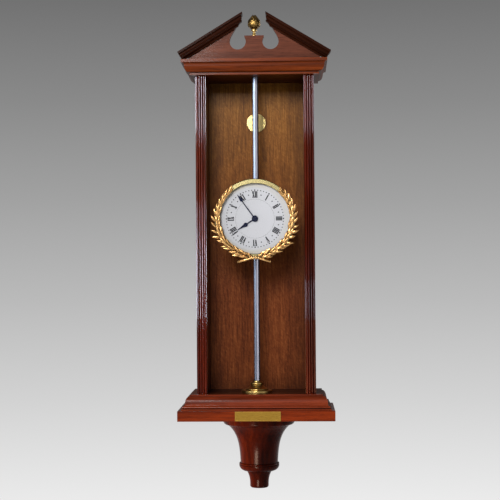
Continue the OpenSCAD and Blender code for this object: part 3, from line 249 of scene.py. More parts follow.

# %% [markdown]
# ## The case
# Each board gets the grain direction that a joiner would choose: upright in the side boards and the
# reeded strips, across in the cornice and the base, and along the slope in the raking mouldings.
# The rakes and the pendant are darker than the rest, and the cornice, the base and the slab are lighter. The
# returns at the ends of the cornice and the base are written much darker than the fronts of the same
# mouldings, and the right rake darker than the left: both are painted shade, shaded copies of one wood. A
# painted shade darkens the seam between the base moulding and the slab. One finish for the whole case would
# be less work, but real boards never match so well.

# %% Wood on the case
SLOPE = math.radians(31.2)
SEAM = 0.008
WOOD = [
    ("upright", "z", (0.050, 0.0095, 0.0030), dict(seed=1.3),
     ["side_panel_left", "side_panel_right"]),
    ("reeds", "z", (0.074, 0.0062, 0.0008), dict(seed=4.1, rough=0.05, polish=0.08, coat=0.02),
     ["pilaster_left", "pilaster_right"]),
    ("cornice", "x", (0.170, 0.0285, 0.0034), dict(seed=2.2),
     ["cornice_front"]),
    # Painted shade: the returns are shaded copies, written much darker than the fronts of the same mouldings.
    ("return", "y", (0.075, 0.0150, 0.0040), dict(seed=3.2, rough=0.45, polish=0.03),
     ["cornice_return_left", "cornice_return_right", "base_moulding_left", "base_moulding_right"]),
    ("soffit", "x", (0.045, 0.0085, 0.0020), dict(seed=5.7, rough=0.4, polish=0.06),
     ["soffit_board", "top_board", "base_block"]),
    ("tympanum", "x", (0.140, 0.0385, 0.0190), dict(seed=6.4, rough=0.36, polish=0.05, contrast=0.6),
     ["pediment_board"]),
    ("rake_left", "x", (0.028, 0.0066, 0.0026), dict(turn=(0, SLOPE, 0), seed=7.5, polish=0.015),
     ["raking_moulding_left"]),
    # Painted shade: the right rake is a shaded copy of the left, written darker.
    ("shaded_rake_right", "x", (0.021, 0.0048, 0.0019), dict(turn=(0, -SLOPE, 0), seed=8.6, polish=0.012),
     ["raking_moulding_right"]),
    ("base", "x", (0.160, 0.0215, 0.0052), dict(seed=9.9, seam=SEAM),
     ["base_moulding_front"]),
    ("slab", "x", (0.130, 0.0135, 0.0012), dict(seed=10.4, contrast=1.3, seam=SEAM),
     ["base_slab"]),
    ("turned", "z", (0.050, 0.0040, 0.0002), dict(seed=11.8, rough=0.2, polish=0.035, coat=0.09),
     ["pendant"]),
]

def wear(node, material):
    slots = nodes[node].data.materials
    slots.clear()
    slots.append(material)

for cut, grain, colour, choices, boards in WOOD:
    timber = mahogany("mahogany_" + cut, grain, colour, **choices)
    for board in boards:
        wear(board, timber)
print("wooden parts:", sum(len(row[-1]) for row in WOOD))

# %% [markdown]
# ## The backboard
# The backboard is a veneer with fine upright grain and a cloudy mottle over it, a little aslant. It is
# browner at the top, which is a painted sheen, and redder towards the bottom. Two ramps over one figure give
# both woods the same pattern, and the height on the board mixes them. Painted shade darkens it along the
# sides and under the top, and that comes from how closed in each point is.

# %% Mottled backboard
FIGURE_STEPS = 0.34, 0.5, 0.66
SHEEN_BROWNS = (0.130, 0.044, 0.0060), (0.280, 0.104, 0.0130), (0.490, 0.210, 0.0360)
REDS = (0.078, 0.0158, 0.0032), (0.180, 0.0430, 0.0100), (0.320, 0.090, 0.0230)
RED_BELOW, SHEEN_BROWN_ABOVE = -0.30, 0.04
NICHE_SHADE, NICHE_SHADE_REACH = (0.14, 0.11, 0.09), 0.050

def mottled_veneer():
    net = Finish("mottled_veneer")
    grain = net.noise(net.place((1, 1, 0.05)), 480, 3, 0.6)
    broad = net.noise(net.place((1, 1, 0.10)), 60, 3, 0.5, 0.4)
    mottle = net.noise(net.place((1, 1, 0.42), (0, 0.5, 0)), 250, 4, 0.6, 1.4)
    pores = net.noise(net.place((1, 1, 0.03)), 1300, 2, 0.6)
    figure = net.weigh((grain, 0.36), (broad, 0.28), (mottle, 0.36))
    brown = net.ramp(figure, *zip(FIGURE_STEPS, SHEEN_BROWNS))
    red = net.ramp(figure, *zip(FIGURE_STEPS, REDS))
    # Painted sheen: the board turns browner towards the top.
    colour = net.mix(net.fade(net.along("Z"), RED_BELOW, SHEEN_BROWN_ABOVE), red, brown)
    pits = net.ramp(pores, (0.38, (0.3, 0.3, 0.3)), (0.48, WHITE))
    colour = net.mix(0.5, colour, pits, "MULTIPLY")
    # Painted shade: darker along the sides and under the top, where the niche closes in.
    closed_in_shade = net.ramp(net.corners(NICHE_SHADE_REACH, False), (0.32, NICHE_SHADE), (0.94, WHITE))
    colour = net.mix(0.75, colour, closed_in_shade, "MULTIPLY")
    return net.done(Base_Color=colour, Roughness=0.42, Normal=net.bump(pits, 0.00005, 0.4),
                    Coat_Weight=0.04, Coat_Roughness=0.25, Specular_IOR_Level=0.06)

wear("backboard", mottled_veneer())
print("backboard turns from red to brown between z =", RED_BELOW, "and", SHEEN_BROWN_ABOVE)

# %% [markdown]
# ## Metals
# Lacquered brass is smooth, and the movement's brass has a straight grain. The wreath and the finial are gilt
# castings, and their hollows are darker than their high places, with tarnish and painted shade. The tie is
# written brighter than the leaves, a painted highlight. The plaque's edges carry a painted highlight. The rod
# is polished along its length and shows mostly what it mirrors; its steel is written far darker than the
# other steel, a painted shade. The hands are blued until they look almost black, and so is the tip of the
# centre arbor that carries them. One function makes them all, since a metal is mainly a colour, a roughness
# and fine marks.

# %% One metal
TARNISH_AND_SHADE, METAL_EDGE_HIGHLIGHT, BLUE = (0.07, 0.03, 0.01), (1.7, 1.8, 2.4, 1), (0.012, 0.014, 0.030)
ANY_WAY, UPRIGHT, SIDEWAYS, DRAWN = (1, 1, 1), (1, 1, 0.05), (0.05, 1, 1), (1, 1, 0.02)

def metal(name, colour, shade, rough, fineness=900, scratch=ANY_WAY, depth=0.00001, hollow=0.0,
          blue_from=None, edge_highlight=0.0):
    net = Finish(name)
    marks = net.noise(net.place(scratch), fineness, 3, 0.6)
    cloud = net.noise(net.place(), 35, 3, 0.55)
    tint = net.mix(net.math("MULTIPLY", cloud, 0.9), (*colour, 1), (*shade, 1))
    # Tarnish and painted shade: darker where the surface closes in round a point.
    if hollow:
        closed_in_shade = net.ramp(net.corners(hollow), (0.42, TARNISH_AND_SHADE), (0.97, WHITE))
        tint = net.mix(0.92, tint, closed_in_shade, "MULTIPLY")
    # Painted highlight: paler along the edges.
    if edge_highlight:
        tint = net.mix(net.edges(edge_highlight), tint, net.mix(1.0, tint, METAL_EDGE_HIGHLIGHT, "MULTIPLY"))
    if blue_from is not None:
        tint = net.mix(net.math("LESS_THAN", net.along("Y"), blue_from), tint, (*BLUE, 1))
    gloss = net.math("ADD", rough, net.math("MULTIPLY", net.math("SUBTRACT", marks, 0.5), rough))
    return net.done(Base_Color=tint, Metallic=1.0, Roughness=gloss, Normal=net.bump(marks, depth, 0.4))

print("metal ready")

# %% Brass, gilt and steel
GRAINED = (0.72, 0.56, 0.24), (0.6, 0.44, 0.18), 0.28, 1500, UPRIGHT
ARBOR_TIP = -0.13
turned_brass = metal("lacquered_brass", (0.62, 0.44, 0.16), (0.46, 0.31, 0.10), 0.30, 700)
bezel_brass = metal("bezel_brass", (0.37, 0.312, 0.152), (0.335, 0.28, 0.123), 0.24, depth=0.000001)
disc_brass = metal("disc_brass", (0.70, 0.55, 0.24), (0.56, 0.42, 0.16), 0.16, 700)
plate_brass = metal("grained_brass", *GRAINED)
arbor_brass = metal("arbor_brass", *GRAINED, blue_from=ARBOR_TIP)
# The plaque's paler edges are a painted highlight.
plaque_brass = metal("plaque_brass", (0.43, 0.25, 0.042), (0.34, 0.185, 0.028), 0.3, 1500, SIDEWAYS,
                     edge_highlight=0.0014)
leaf_gilt = metal("gilt_casting", (0.82, 0.49, 0.195), (0.42, 0.20, 0.060), 0.27, 500, depth=0.00008,
                  hollow=0.0045)
# Painted highlight: the tie is a lit copy of the gilt, written brighter than the leaves.
lit_tie_gilt = metal("lit_tie_gilt", (0.98, 0.66, 0.30), (0.80, 0.48, 0.17), 0.30, 500, depth=0.00003,
                 hollow=0.0035)
finial_gilt = metal("finial_gilt", (0.30, 0.19, 0.060), (0.19, 0.11, 0.030), 0.36, 500, depth=0.00003,
                    hollow=0.0022)
# Painted shade: the rod's steel is written far darker than the other steel.
shaded_rod_steel = metal("shaded_rod_steel", (0.085, 0.088, 0.108), (0.072, 0.076, 0.092), 0.34, 1200, DRAWN, 0.000001)
steel = metal("polished_steel", (0.50, 0.54, 0.62), (0.42, 0.45, 0.52), 0.20, 1200, DRAWN, 0.000003)
blued_steel = metal("blued_steel", BLUE, (0.008, 0.009, 0.02), 0.3)
print("twelve metals made")

# %% Metal on the clock
METALS = {
    turned_brass: ["finial_stem", "rod_foot", "rod_knob", "drum", "drum_back"],
    disc_brass: ["wall_disc"],
    bezel_brass: ["bezel"],
    plate_brass: ["front_plate", "back_plate", "pillars", "guide_bushes", "bridge", "bridge_posts",
                  "great_wheel", "intermediate_wheel", "idler_wheel", "third_wheel",
                  "fourth_wheel", "escape_wheel", "balance_wheel", "minute_wheel"],
    arbor_brass: ["centre_wheel"],
    plaque_brass: ["plaque"],
    leaf_gilt: ["wreath_left", "wreath_right", "wreath_tie"],
    finial_gilt: ["finial"],
    shaded_rod_steel: ["rack_rod"],
    steel: ["slab_screws", "head_fasteners", "pressure_roller", "drive_arbor", "click",
            "pallet_lever", "sight_ring"],
    blued_steel: ["minute_hand", "hour_hand", "hairspring", "cannon_pinion"],
}
for finish, parts in METALS.items():
    for part in parts:
        wear(part, finish)
print("metal parts:", sum(map(len, METALS.values())))

# %% [markdown]
# ## The dial
# The dial is a white enamelled disc with a very slight orange-peel surface. Towards its rim it carries a
# painted yellow reflection of the brass, more on the left, and a painted shade makes its left half a little
# greyer. Distance from a point beside the centre gives the rim, and the place across the dial gives the two
# halves, so no picture is needed.

# %% White enamel
dial_low, dial_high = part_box("dial")
dial_face, dial_z = dial_low[1], (dial_low[2] + dial_high[2]) / 2
ENAMEL = (0.650, 0.640, 0.675, 1), (0.62, 0.61, 0.645, 1)
LEFT_SHADE, RIM_REFLECTION_TINT = (0.53, 0.525, 0.55, 1), (0.60, 0.52, 0.37, 1)
RIM_CENTRE_X, RIM_FROM, RIM_TO, HALF_WAY = -0.004, 0.0535, 0.0600, 0.03

def enamel():
    net = Finish("white_enamel")
    peel = net.noise(net.place(), 600, 2, 0.5)
    colour = net.mix(net.noise(net.place(), 30, 2, 0.5), *ENAMEL)
    from_centre = net.vector("SUBTRACT", net.own_place(), (RIM_CENTRE_X, dial_face, dial_z))
    flat = net.vector("MULTIPLY", from_centre, (-1, 0, 1))
    rim_reflection = net.fade(net.vector("LENGTH", flat), RIM_FROM, RIM_TO, "SMOOTHSTEP")
    # Painted shade: the left half of the dial is greyer.
    left = net.fade(net.along("X", from_centre), HALF_WAY, -HALF_WAY)
    colour = net.mix(net.math("MULTIPLY", left, 0.7), colour, LEFT_SHADE)
    # Painted reflection: a yellow band of brass light towards the rim, stronger on the left.
    share = net.math("MULTIPLY", rim_reflection, net.math("ADD", 0.25, net.math("MULTIPLY", left, 0.6)))
    colour = net.mix(share, colour, RIM_REFLECTION_TINT)
    return net.done(Base_Color=colour, Roughness=0.35, Normal=net.bump(peel, 0.00001, 0.3))

wear("dial", enamel())
print("dial face at y =", round(dial_face, 4), "centre z =", round(dial_z, 4))

# %% [markdown]
# ## The glass
# The glass in front must let the light through to the dial. Real refraction would cost many light
# paths for a flat pane, so a clear shader is mixed with a little gloss that grows towards the edge,
# as it does on real glass.

# %% Clear glass
CLEAR, GLASS_IOR, GLOSS_SHARE = (0.98, 0.985, 0.985, 1), 1.45, 0.3

def clear_glass():
    net = Finish("clear_glass")
    ripple = net.bump(net.noise(net.place(), 14, 1, 0.5), 0.0002, 0.2)
    gloss = net.add("BsdfGlossy", Roughness=0.01, Normal=ripple)
    clear = net.add("BsdfTransparent", Color=CLEAR)
    share = net.add("Fresnel", IOR=GLASS_IOR, Normal=ripple)
    blend = net.add("MixShader", Fac=net.math("MULTIPLY", share.outputs[0], GLOSS_SHARE))
    net.feed(blend, 1, clear.outputs[0])
    net.feed(blend, 2, gloss.outputs[0])
    net.feed(net.tree.nodes["Material Output"], "Surface", blend.outputs[0])
    return net.material

wear("dial_glass", clear_glass())
print("glass done")

# %% [markdown]
# ## Printing on the dial
# The chapter ring has Roman numerals that point to the centre, sixty minute dots, a larger dot at
# each hour, a small one at each half hour, and a fine circle inside. Text objects would bring a
# typeface with them, so each mark is a flat shape a few hundredths of a millimetre thick, drawn from
# straight strokes. Strokes that cross get slightly different thicknesses, so that no two faces lie
# in one plane.

# %% Strokes of the numerals
INK_THICKNESS, INK_STEP = 0.00004, 0.2
THICK, THIN, SERIF, LEG = 0.175, 0.07, 0.065, 0.62
WIDTH = {"I": 0.22, "V": 0.43, "X": 0.43}

def outline(mesh, points, thickness=INK_THICKNESS):
    front = [mesh.verts.new((x, dial_face - thickness, dial_z + z)) for x, z in points]
    back = [mesh.verts.new((x, dial_face, dial_z + z)) for x, z in points]
    mesh.faces.new(front)
    mesh.faces.new(back[::-1])
    for i in range(len(points)):
        j = (i + 1) % len(points)
        mesh.faces.new((front[j], front[i], back[i], back[j]))

def bar(a, b, width):
    (ax, az), (bx, bz) = a, b
    length = math.hypot(bx - ax, bz - az)
    nx, nz = -(bz - az) / length * width / 2, (bx - ax) / length * width / 2
    return [(ax + nx, az + nz), (ax - nx, az - nz), (bx - nx, bz - nz), (bx + nx, bz + nz)]

def strokes(letter, left):
    middle, half = left + WIDTH[letter] / 2, WIDTH[letter] / 2
    if letter == "I":
        yield bar((middle, 0), (middle, 1), THICK)
        yield bar((middle - half, SERIF / 2), (middle + half, SERIF / 2), SERIF)
    elif letter == "V":
        yield bar((middle - half * LEG, 1), (middle, 0), THICK)
        yield bar((middle + half * LEG, 1), (middle, 0), THIN)
    else:
        yield bar((middle - half * LEG, 1), (middle + half * LEG, 0), THICK)
        yield bar((middle + half * LEG, 1), (middle - half * LEG, 0), THIN)
        yield bar((middle - half, SERIF / 2), (middle + half, SERIF / 2), SERIF)
    yield bar((middle - half, 1 - SERIF / 2), (middle + half, 1 - SERIF / 2), SERIF)

print("strokes in an X:", len(list(strokes("X", 0))))

# %% Marks of the rings and the finished piece
DOT_SIDES = 14

def spin(point, angle):
    x, z = point
    return x * math.cos(angle) + z * math.sin(angle), z * math.cos(angle) - x * math.sin(angle)

def dot(mesh, centre, radius):
    outline(mesh, [(centre[0] + radius * math.cos(2 * math.pi * i / DOT_SIDES),
                    centre[1] + radius * math.sin(2 * math.pi * i / DOT_SIDES)) for i in range(DOT_SIDES)])

def object_from(mesh, name, material, body, smooth=False):
    bmesh.ops.recalc_face_normals(mesh, faces=mesh.faces)
    data = bpy.data.meshes.new(name)
    mesh.to_mesh(data)
    mesh.free()
    for face in data.polygons:
        face.use_smooth = smooth
    data.materials.append(material)
    piece = bpy.data.objects.new(name, data)
    bpy.context.scene.collection.objects.link(piece)
    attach(piece, body)
    return piece

def ink():
    net = Finish("printing_ink")
    cloud = net.noise(net.place(), 800, 3, 0.6)
    black = net.ramp(cloud, (0.3, (0.008, 0.008, 0.012)), (0.7, (0.020, 0.020, 0.026)))
    return net.done(Base_Color=black, Roughness=0.6, Specular_IOR_Level=0.1)

print("marks ready")

# %% Chapter ring
NUMERALS = ["XII", "I", "II", "III", "IIII", "V", "VI", "VII", "VIII", "IX", "X", "XI"]
NUMERAL_FOOT, NUMERAL_TOP = 0.0374, 0.0487
HALF_HOURS, MINUTES, CIRCLE_IN, CIRCLE_OUT = 0.0433, 0.0508, 0.0347, 0.0349
HALF_HOUR_DOT, HOUR_DOT, MINUTE_DOT = 0.0011, 0.0013, 0.00095
CIRCLE_SIDES = 96

printing = bmesh.new()
for hour, text in enumerate(NUMERALS):
    size, turn = NUMERAL_TOP - NUMERAL_FOOT, hour * math.pi / 6
    left = -sum(WIDTH[letter] for letter in text) / 2
    for letter in text:
        for layer, stroke in enumerate(strokes(letter, left)):
            outline(printing, [spin((x * size, NUMERAL_FOOT + z * size), turn) for x, z in stroke],
                    INK_THICKNESS * (1 + INK_STEP * layer))
        left += WIDTH[letter]
    dot(printing, spin((0, HALF_HOURS), (hour + 0.5) * math.pi / 6), HALF_HOUR_DOT)
for minute in range(60):
    dot(printing, spin((0, MINUTES), minute * math.pi / 30), HOUR_DOT if minute % 5 == 0 else MINUTE_DOT)
for i in range(CIRCLE_SIDES):
    a, b = 2 * math.pi * i / CIRCLE_SIDES, 2 * math.pi * (i + 1) / CIRCLE_SIDES
    outline(printing, [spin((0, CIRCLE_OUT), a), spin((0, CIRCLE_OUT), b),
                       spin((0, CIRCLE_IN), b), spin((0, CIRCLE_IN), a)])
object_from(printing, "dial_printing", ink(), "clock_head")
print("numerals:", " ".join(NUMERALS))

# %% [markdown]
# ## The laurel wreath
# The wreath is a thin gilt casting: two branches that cross under a tie at the bottom and climb
# both sides of the bezel. Each leaf is a small curved sheet with a raised midrib, faint side veins
# and a pointed tip. Copies of one modelled leaf would all look alike, so a function makes each leaf
# with its own size and bend.

# %% One laurel leaf
RIB, VEIN, SHEET, NARROWEST = 0.0007, 0.00016, 0.0004, 0.0001
CUP_SHARE, VEINS, VEIN_SLANT = 0.25, 26, 7

def leaf_section(u, width, lift, curl, columns):
    half = width * math.sin(math.pi * min(1, u * 0.95 + 0.05) ** 0.75) ** 1.1 + NARROWEST
    for j in range(columns + 1):
        v = 2 * j / columns - 1
        rib = RIB * (1 - abs(v)) ** 3 * (1 - u * 0.6)
        cup = CUP_SHARE * half * (1 - v * v)
        vein = VEIN * math.sin(VEINS * u - VEIN_SLANT * abs(v)) * (1 - abs(v))
        rise = lift * math.sin(math.pi * u * 0.8) + curl * u * u + cup + rib + vein
        yield half * v, rise, SHEET + 0.5 * cup

def leaf(mesh, root, direction, facing, length, width, lift, curl, bend, rows=9, columns=6):
    side = facing.cross(direction).normalized()
    front, back = [], []
    for i in range(rows + 1):
        u = i / rows
        front.append([])
        back.append([])
        for across, rise, thick in leaf_section(u, width, lift, curl, columns):
            at = root + direction * (length * u) + bend * (u * u) + side * across + facing * rise
            front[-1].append(mesh.verts.new(at))
            back[-1].append(mesh.verts.new(at - facing * thick))
    for i in range(rows):
        for j in range(columns):
            mesh.faces.new((front[i][j], front[i + 1][j], front[i + 1][j + 1], front[i][j + 1]))
            mesh.faces.new((back[i][j], back[i][j + 1], back[i + 1][j + 1], back[i + 1][j]))
        mesh.faces.new((front[i][0], back[i][0], back[i + 1][0], front[i + 1][0]))
        mesh.faces.new((front[i][-1], front[i + 1][-1], back[i + 1][-1], back[i][-1]))
    for j in range(columns):
        mesh.faces.new((front[0][j], front[0][j + 1], back[0][j + 1], back[0][j]))
        mesh.faces.new((front[-1][j], back[-1][j], back[-1][j + 1], front[-1][j + 1]))

print("leaf ready, sheet", SHEET * 1000, "mm thick at its edge")

# %% [markdown]
# The stem is a tube along points of an arc just in front of the bezel. Its foot is the tail that
# sticks out below the tie on the other side. A curve with a bevel would do for a plain tube, but the
# leaves need the same points, so both come from one function.

# %% Stem
TUBE_SIDES, STEM_STEPS = 10, 30
STEM_CIRCLE, FOOT_SWAY, FIRST = 0.0668, 0.0028, 9
stem_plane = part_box("bezel")[0][1] - 0.0013

def tube(mesh, path, radii):
    rings = []
    for i, point in enumerate(path):
        forwards = (path[min(i + 1, len(path) - 1)] - path[max(i - 1, 0)]).normalized()
        a = forwards.orthogonal().normalized()
        b = forwards.cross(a)
        rings.append([mesh.verts.new(point + radii[i] * (a * math.cos(t) + b * math.sin(t)))
                      for t in (2 * math.pi * k / TUBE_SIDES for k in range(TUBE_SIDES))])
    for one, two in zip(rings, rings[1:]):
        def twist(shift):
            return sum((one[k].co - two[(k + shift) % TUBE_SIDES].co).length for k in range(TUBE_SIDES))
        best = min(range(TUBE_SIDES), key=twist)
        for k in range(TUBE_SIDES):
            mesh.faces.new((one[k], one[(k + 1) % TUBE_SIDES], two[(k + 1 + best) % TUBE_SIDES],
                            two[(k + best) % TUBE_SIDES]))
    mesh.faces.new(rings[0][::-1])
    mesh.faces.new(rings[-1])

def on_stem(side, angle, out=0.0, forward=0.0):
    radius = STEM_CIRCLE + FOOT_SWAY * math.exp((FIRST - angle) / 14) - 1.2e-5 * max(0, angle - 60) + out
    turn = math.radians(angle)
    return Vector((side * radius * math.sin(turn), stem_plane - forward, dial_z - radius * math.cos(turn)))

def lay_stem(mesh, side, last, lift):
    tail_end = -0.0312 if side > 0 else -0.0278
    tail = [Vector((side * tail_end, stem_plane - lift + 0.0005, dial_z - 0.0774)),
            Vector((side * -0.0160, stem_plane - lift, dial_z - 0.0733)),
            Vector((0, stem_plane - lift, dial_z - 0.0695)),
            Vector((side * 0.0067, stem_plane - lift, dial_z - 0.0695))]
    stem = [on_stem(side, FIRST + (last - 12) * i / STEM_STEPS) for i in range(STEM_STEPS + 1)]
    thinning = [0.0013 - 0.0005 * i / STEM_STEPS for i in range(STEM_STEPS + 1)]
    tube(mesh, tail + stem, [0.0023, 0.0022, 0.0009, 0.0010] + thinning)

print("stem plane at y =", round(stem_plane, 4))

# %% [markdown]
# Leaves are laid in threes along the stem, one inwards, one outwards and one along it, with a little
# disorder. The outward ones open most at the sides of the bezel. Three more leaves at the foot close
# the gap beside the tie, and a few round berries sit between the leaves.

# %% Leaves and berries
GROUPS, SIZE_LOSS, LEAF_LENGTH, LEAF_WIDTH, LEAF_LIFT = 16, 0.06, 0.0180, 0.0027, 0.0009
INWARDS, ALONG_STEM, OUTWARDS = -1, 0, 1
FORWARDS = Vector((0, -1, 0))
FOOT_LEAVES = (4, -34, 0.0125), (13, -28, 0.0135), (8, 34, 0.0165)
BERRIES, BERRY = 6, 0.0016

def spread(angle):
    return 4 + 0.95 * angle if angle < 62 else max(24, 63 - 0.95 * (angle - 62))

def directions(side, angle):
    turn = math.radians(angle)
    return (Vector((side * math.cos(turn), 0, math.sin(turn))),
            Vector((side * math.sin(turn), 0, -math.cos(turn))))

def lay_leaf(mesh, side, chance, group, way, angle):
    along, outward = directions(side, angle)
    lean = {INWARDS: -26, ALONG_STEM: 3, OUTWARDS: spread(angle)}[way] + chance.uniform(-10, 10)
    lean = math.radians(lean * (1 if way == OUTWARDS else 1 - 0.5 * group / GROUPS))
    direction = along * math.cos(lean) + outward * math.sin(lean)
    direction = (direction + FORWARDS * chance.uniform(-0.03, 0.09)).normalized()
    facing = (FORWARDS + outward * (way * 0.25 + chance.uniform(-0.5, 0.5))).normalized()
    size = (0.92 if way == ALONG_STEM else 1.0) * (1 - SIZE_LOSS * group / GROUPS) * chance.uniform(0.88, 1.1)
    out = {INWARDS: -0.0006 - 0.0030 * math.exp((FIRST - angle) / 10), ALONG_STEM: 0, OUTWARDS: 0.0006}[way]
    bend = along * 0.0008 - outward * (0.0022 if way == OUTWARDS else -0.0004)
    forward = 0.0003 + (0.0012 if way == ALONG_STEM else 0)
    leaf(mesh, on_stem(side, angle, out, forward), direction, facing, LEAF_LENGTH * size,
         LEAF_WIDTH * size, LEAF_LIFT, chance.uniform(-0.0004, 0.0007), bend)

def lay_foot_leaf(mesh, side, angle, lean, length):
    along, outward = directions(side, angle)
    lean = math.radians(lean)
    direction = (along * math.cos(lean) + outward * math.sin(lean) + FORWARDS * 0.06).normalized()
    leaf(mesh, on_stem(side, angle, -0.002 if lean < 0 else 0.001, 0.0008), direction, FORWARDS,
         length, 0.0026, LEAF_LIFT, 0.0, outward * -0.001)

print("leaves lean out by up to", round(spread(61.9)), "degrees")

# %% Two branches
def keep_inside(mesh, node):
    low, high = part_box(node)
    for v in mesh.verts:
        v.co = [min(max(c, a), b) for c, a, b in zip(v.co, low, high)]

def branch(name, side, last, lift, node):
    chance = random.Random(11 if side > 0 else 23)
    mesh = bmesh.new()
    lay_stem(mesh, side, last, lift)
    for group in range(GROUPS):
        for way in (INWARDS, OUTWARDS, ALONG_STEM):
            angle = max(6, FIRST + (last - 23) * (group + 0.33 * way) / (GROUPS - 1))
            lay_leaf(mesh, side, chance, group, way, angle)
    for angle, lean, length in FOOT_LEAVES:
        lay_foot_leaf(mesh, side, angle, lean, length)
    for i in range(BERRIES):
        angle = 22 + (last - 50) * i / (BERRIES - 1)
        spot = on_stem(side, angle, chance.choice((-0.0028, 0.0030)), 0.0018)
        bmesh.ops.create_uvsphere(mesh, u_segments=12, v_segments=8, radius=BERRY,
                                  matrix=Matrix.Translation(spot))
    keep_inside(mesh, node)
    piece = object_from(mesh, name, leaf_gilt, "clock_head", True)
    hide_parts(node)
    print(name, "has", 3 * GROUPS + len(FOOT_LEAVES), "leaves")

branch("laurel_left", -1, 145, 0.0013, "wreath_left")
branch("laurel_right", 1, 141, 0.0041, "wreath_right")

# %% [markdown]
# ## The tie
# A flat band is wound four times round the crossing stems, on a slant. Each turn is rounded across,
# so that it carries its own small highlight. Four separate rings look the same as one long winding,
# and they close on themselves without a loose end.

# %% Four wound turns
TURN_STEPS, ACROSS = 40, 6
BAND, PITCH_OF_TURNS, SLANT, SWELL = 0.0034, 0.0041, math.tan(math.radians(15)), 0.0013

def wound_tie():
    mesh = bmesh.new()
    low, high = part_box("wreath_tie")
    middle = [(a + b) / 2 for a, b in zip(low, high)]
    tall, deep = (high[2] - low[2]) / 2 - 0.0005, (high[1] - low[1]) / 2 - 0.0001
    for k in (-1.5, -0.5, 0.5, 1.5):
        rings = []
        for i in range(TURN_STEPS):
            t = 2 * math.pi * i / TURN_STEPS
            rings.append([])
            for j in range(ACROSS + 1):
                v = 2 * j / ACROSS - 1
                swell = 1 - SWELL * v * v / deep
                z = tall * swell * math.sin(t)
                x = middle[0] + k * PITCH_OF_TURNS + v * BAND / 2 + SLANT * z
                rings[-1].append(mesh.verts.new((x, middle[1] - deep * swell * math.cos(t), middle[2] + z)))
        for i in range(TURN_STEPS):
            one, two = rings[i], rings[(i + 1) % TURN_STEPS]
            for j in range(ACROSS):
                mesh.faces.new((one[j], one[j + 1], two[j + 1], two[j]))
        for j in (0, ACROSS):
            mesh.faces.new([ring[j] for ring in rings])
    keep_inside(mesh, "wreath_tie")
    piece = object_from(mesh, "wound_tie", lit_tie_gilt, "clock_head", True)
    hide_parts("wreath_tie")
    return piece

print("tie:", wound_tie().name)

# %% [markdown]
# ## The finial
# The finial is an egg of overlapping scales, like a closed bud. Six rings of scales are laid over a
# plain core from the bottom to the top, each ring half a scale round from the one below. A scale is
# a short wide laurel leaf, so the leaf function serves again.

# %% Egg of scales
CORE_SIDES, CORE_STEPS, SCALE_RINGS, SCALES, TOP_SCALES = 24, 12, 6, 7, 5
EGG_SHARE, EGG_BULGE, SCALE_REACH = 0.90, 0.66, 0.30

def egg_of_scales():
    mesh = bmesh.new()
    low, high = map(Vector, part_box("finial"))
    middle, tall, widest = (low + high) / 2, high.z - low.z, (high.x - low.x) / 2

    def girth(u):
        return widest * EGG_SHARE * math.sin(math.pi * u ** EGG_BULGE)

    def skin(u, turn, out=0.0):
        radius = girth(u) + out
        return Vector((middle.x + radius * math.sin(turn), middle.y - radius * math.cos(turn),
                       low.z + tall * u))

    rings = []
    for i in range(CORE_STEPS + 1):
        u = 0.03 + 0.92 * i / CORE_STEPS
        rings.append([mesh.verts.new(skin(u, 2 * math.pi * k / CORE_SIDES, -0.0009))
                      for k in range(CORE_SIDES)])
    for one, two in zip(rings, rings[1:]):
        for k in range(CORE_SIDES):
            mesh.faces.new((one[k], one[(k + 1) % CORE_SIDES], two[(k + 1) % CORE_SIDES], two[k]))
    mesh.faces.new(rings[0][::-1])
    mesh.faces.new(rings[-1])
    for ring in range(SCALE_RINGS):
        start = 0.02 + 0.128 * ring
        count = SCALES if ring < SCALE_RINGS - 1 else TOP_SCALES
        for k in range(count):
            turn = 2 * math.pi * (k + 0.5 * (ring % 2)) / count
            root = skin(start, turn, -0.0004)
            tip = skin(min(start + SCALE_REACH, 0.98), turn, 0.0013)
            along = (skin(start + 0.09, turn) - root).normalized()
            outward = Vector((math.sin(turn), -math.cos(turn), 0))
            facing = (outward - along * outward.dot(along)).normalized()
            length = (tip - root).length
            width = 1.12 * math.pi * girth(start + SCALE_REACH * 0.45) / count
            leaf(mesh, root, along, facing, length, width, 0.0007, 0.0, tip - root - along * length, 8, 8)
    keep_inside(mesh, "finial")
    piece = object_from(mesh, "scaled_egg", finial_gilt, "case", True)
    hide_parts("finial")
    return piece

print("finial:", egg_of_scales().name)

# %% [markdown]
# ## The floor
# The clock hangs on a wall that isn't drawn. A round pale floor lies well under it, out of the camera's view.

# %% Studio floor
FLOOR_RADIUS, FLOOR_PLACE = 1.9, (0, -0.1, -1.25)

def floor_finish():
    net = Finish("studio_floor")
    grain = net.noise(net.place(), 60, 4, 0.6)
    return net.done(Base_Color=net.mix(grain, (0.80, 0.80, 0.80, 1), (0.83, 0.83, 0.83, 1)), Roughness=0.8)

floor_mesh = bmesh.new()
bmesh.ops.create_circle(floor_mesh, cap_ends=True, segments=96, radius=FLOOR_RADIUS)
floor_data = bpy.data.meshes.new("studio_floor")
floor_mesh.to_mesh(floor_data)
floor_mesh.free()
floor_data.materials.append(floor_finish())
floor = bpy.data.objects.new("studio_floor", floor_data)
floor.location = FLOOR_PLACE
bpy.context.scene.collection.objects.link(floor)
print("floor at z =", floor.location.z)

# %% [markdown]
# ## The background
# The studio background is grey, paler below and darker above. A painted wall would catch the lamps
# and the clock's shadow, so the background belongs to the world. The camera sees a ramp of greys,
# and so does whatever is mirrored or seen through glass. Every other ray meets a weak ambient light
# instead, stronger from the left, so the backdrop doesn't decide how bright the wood is.

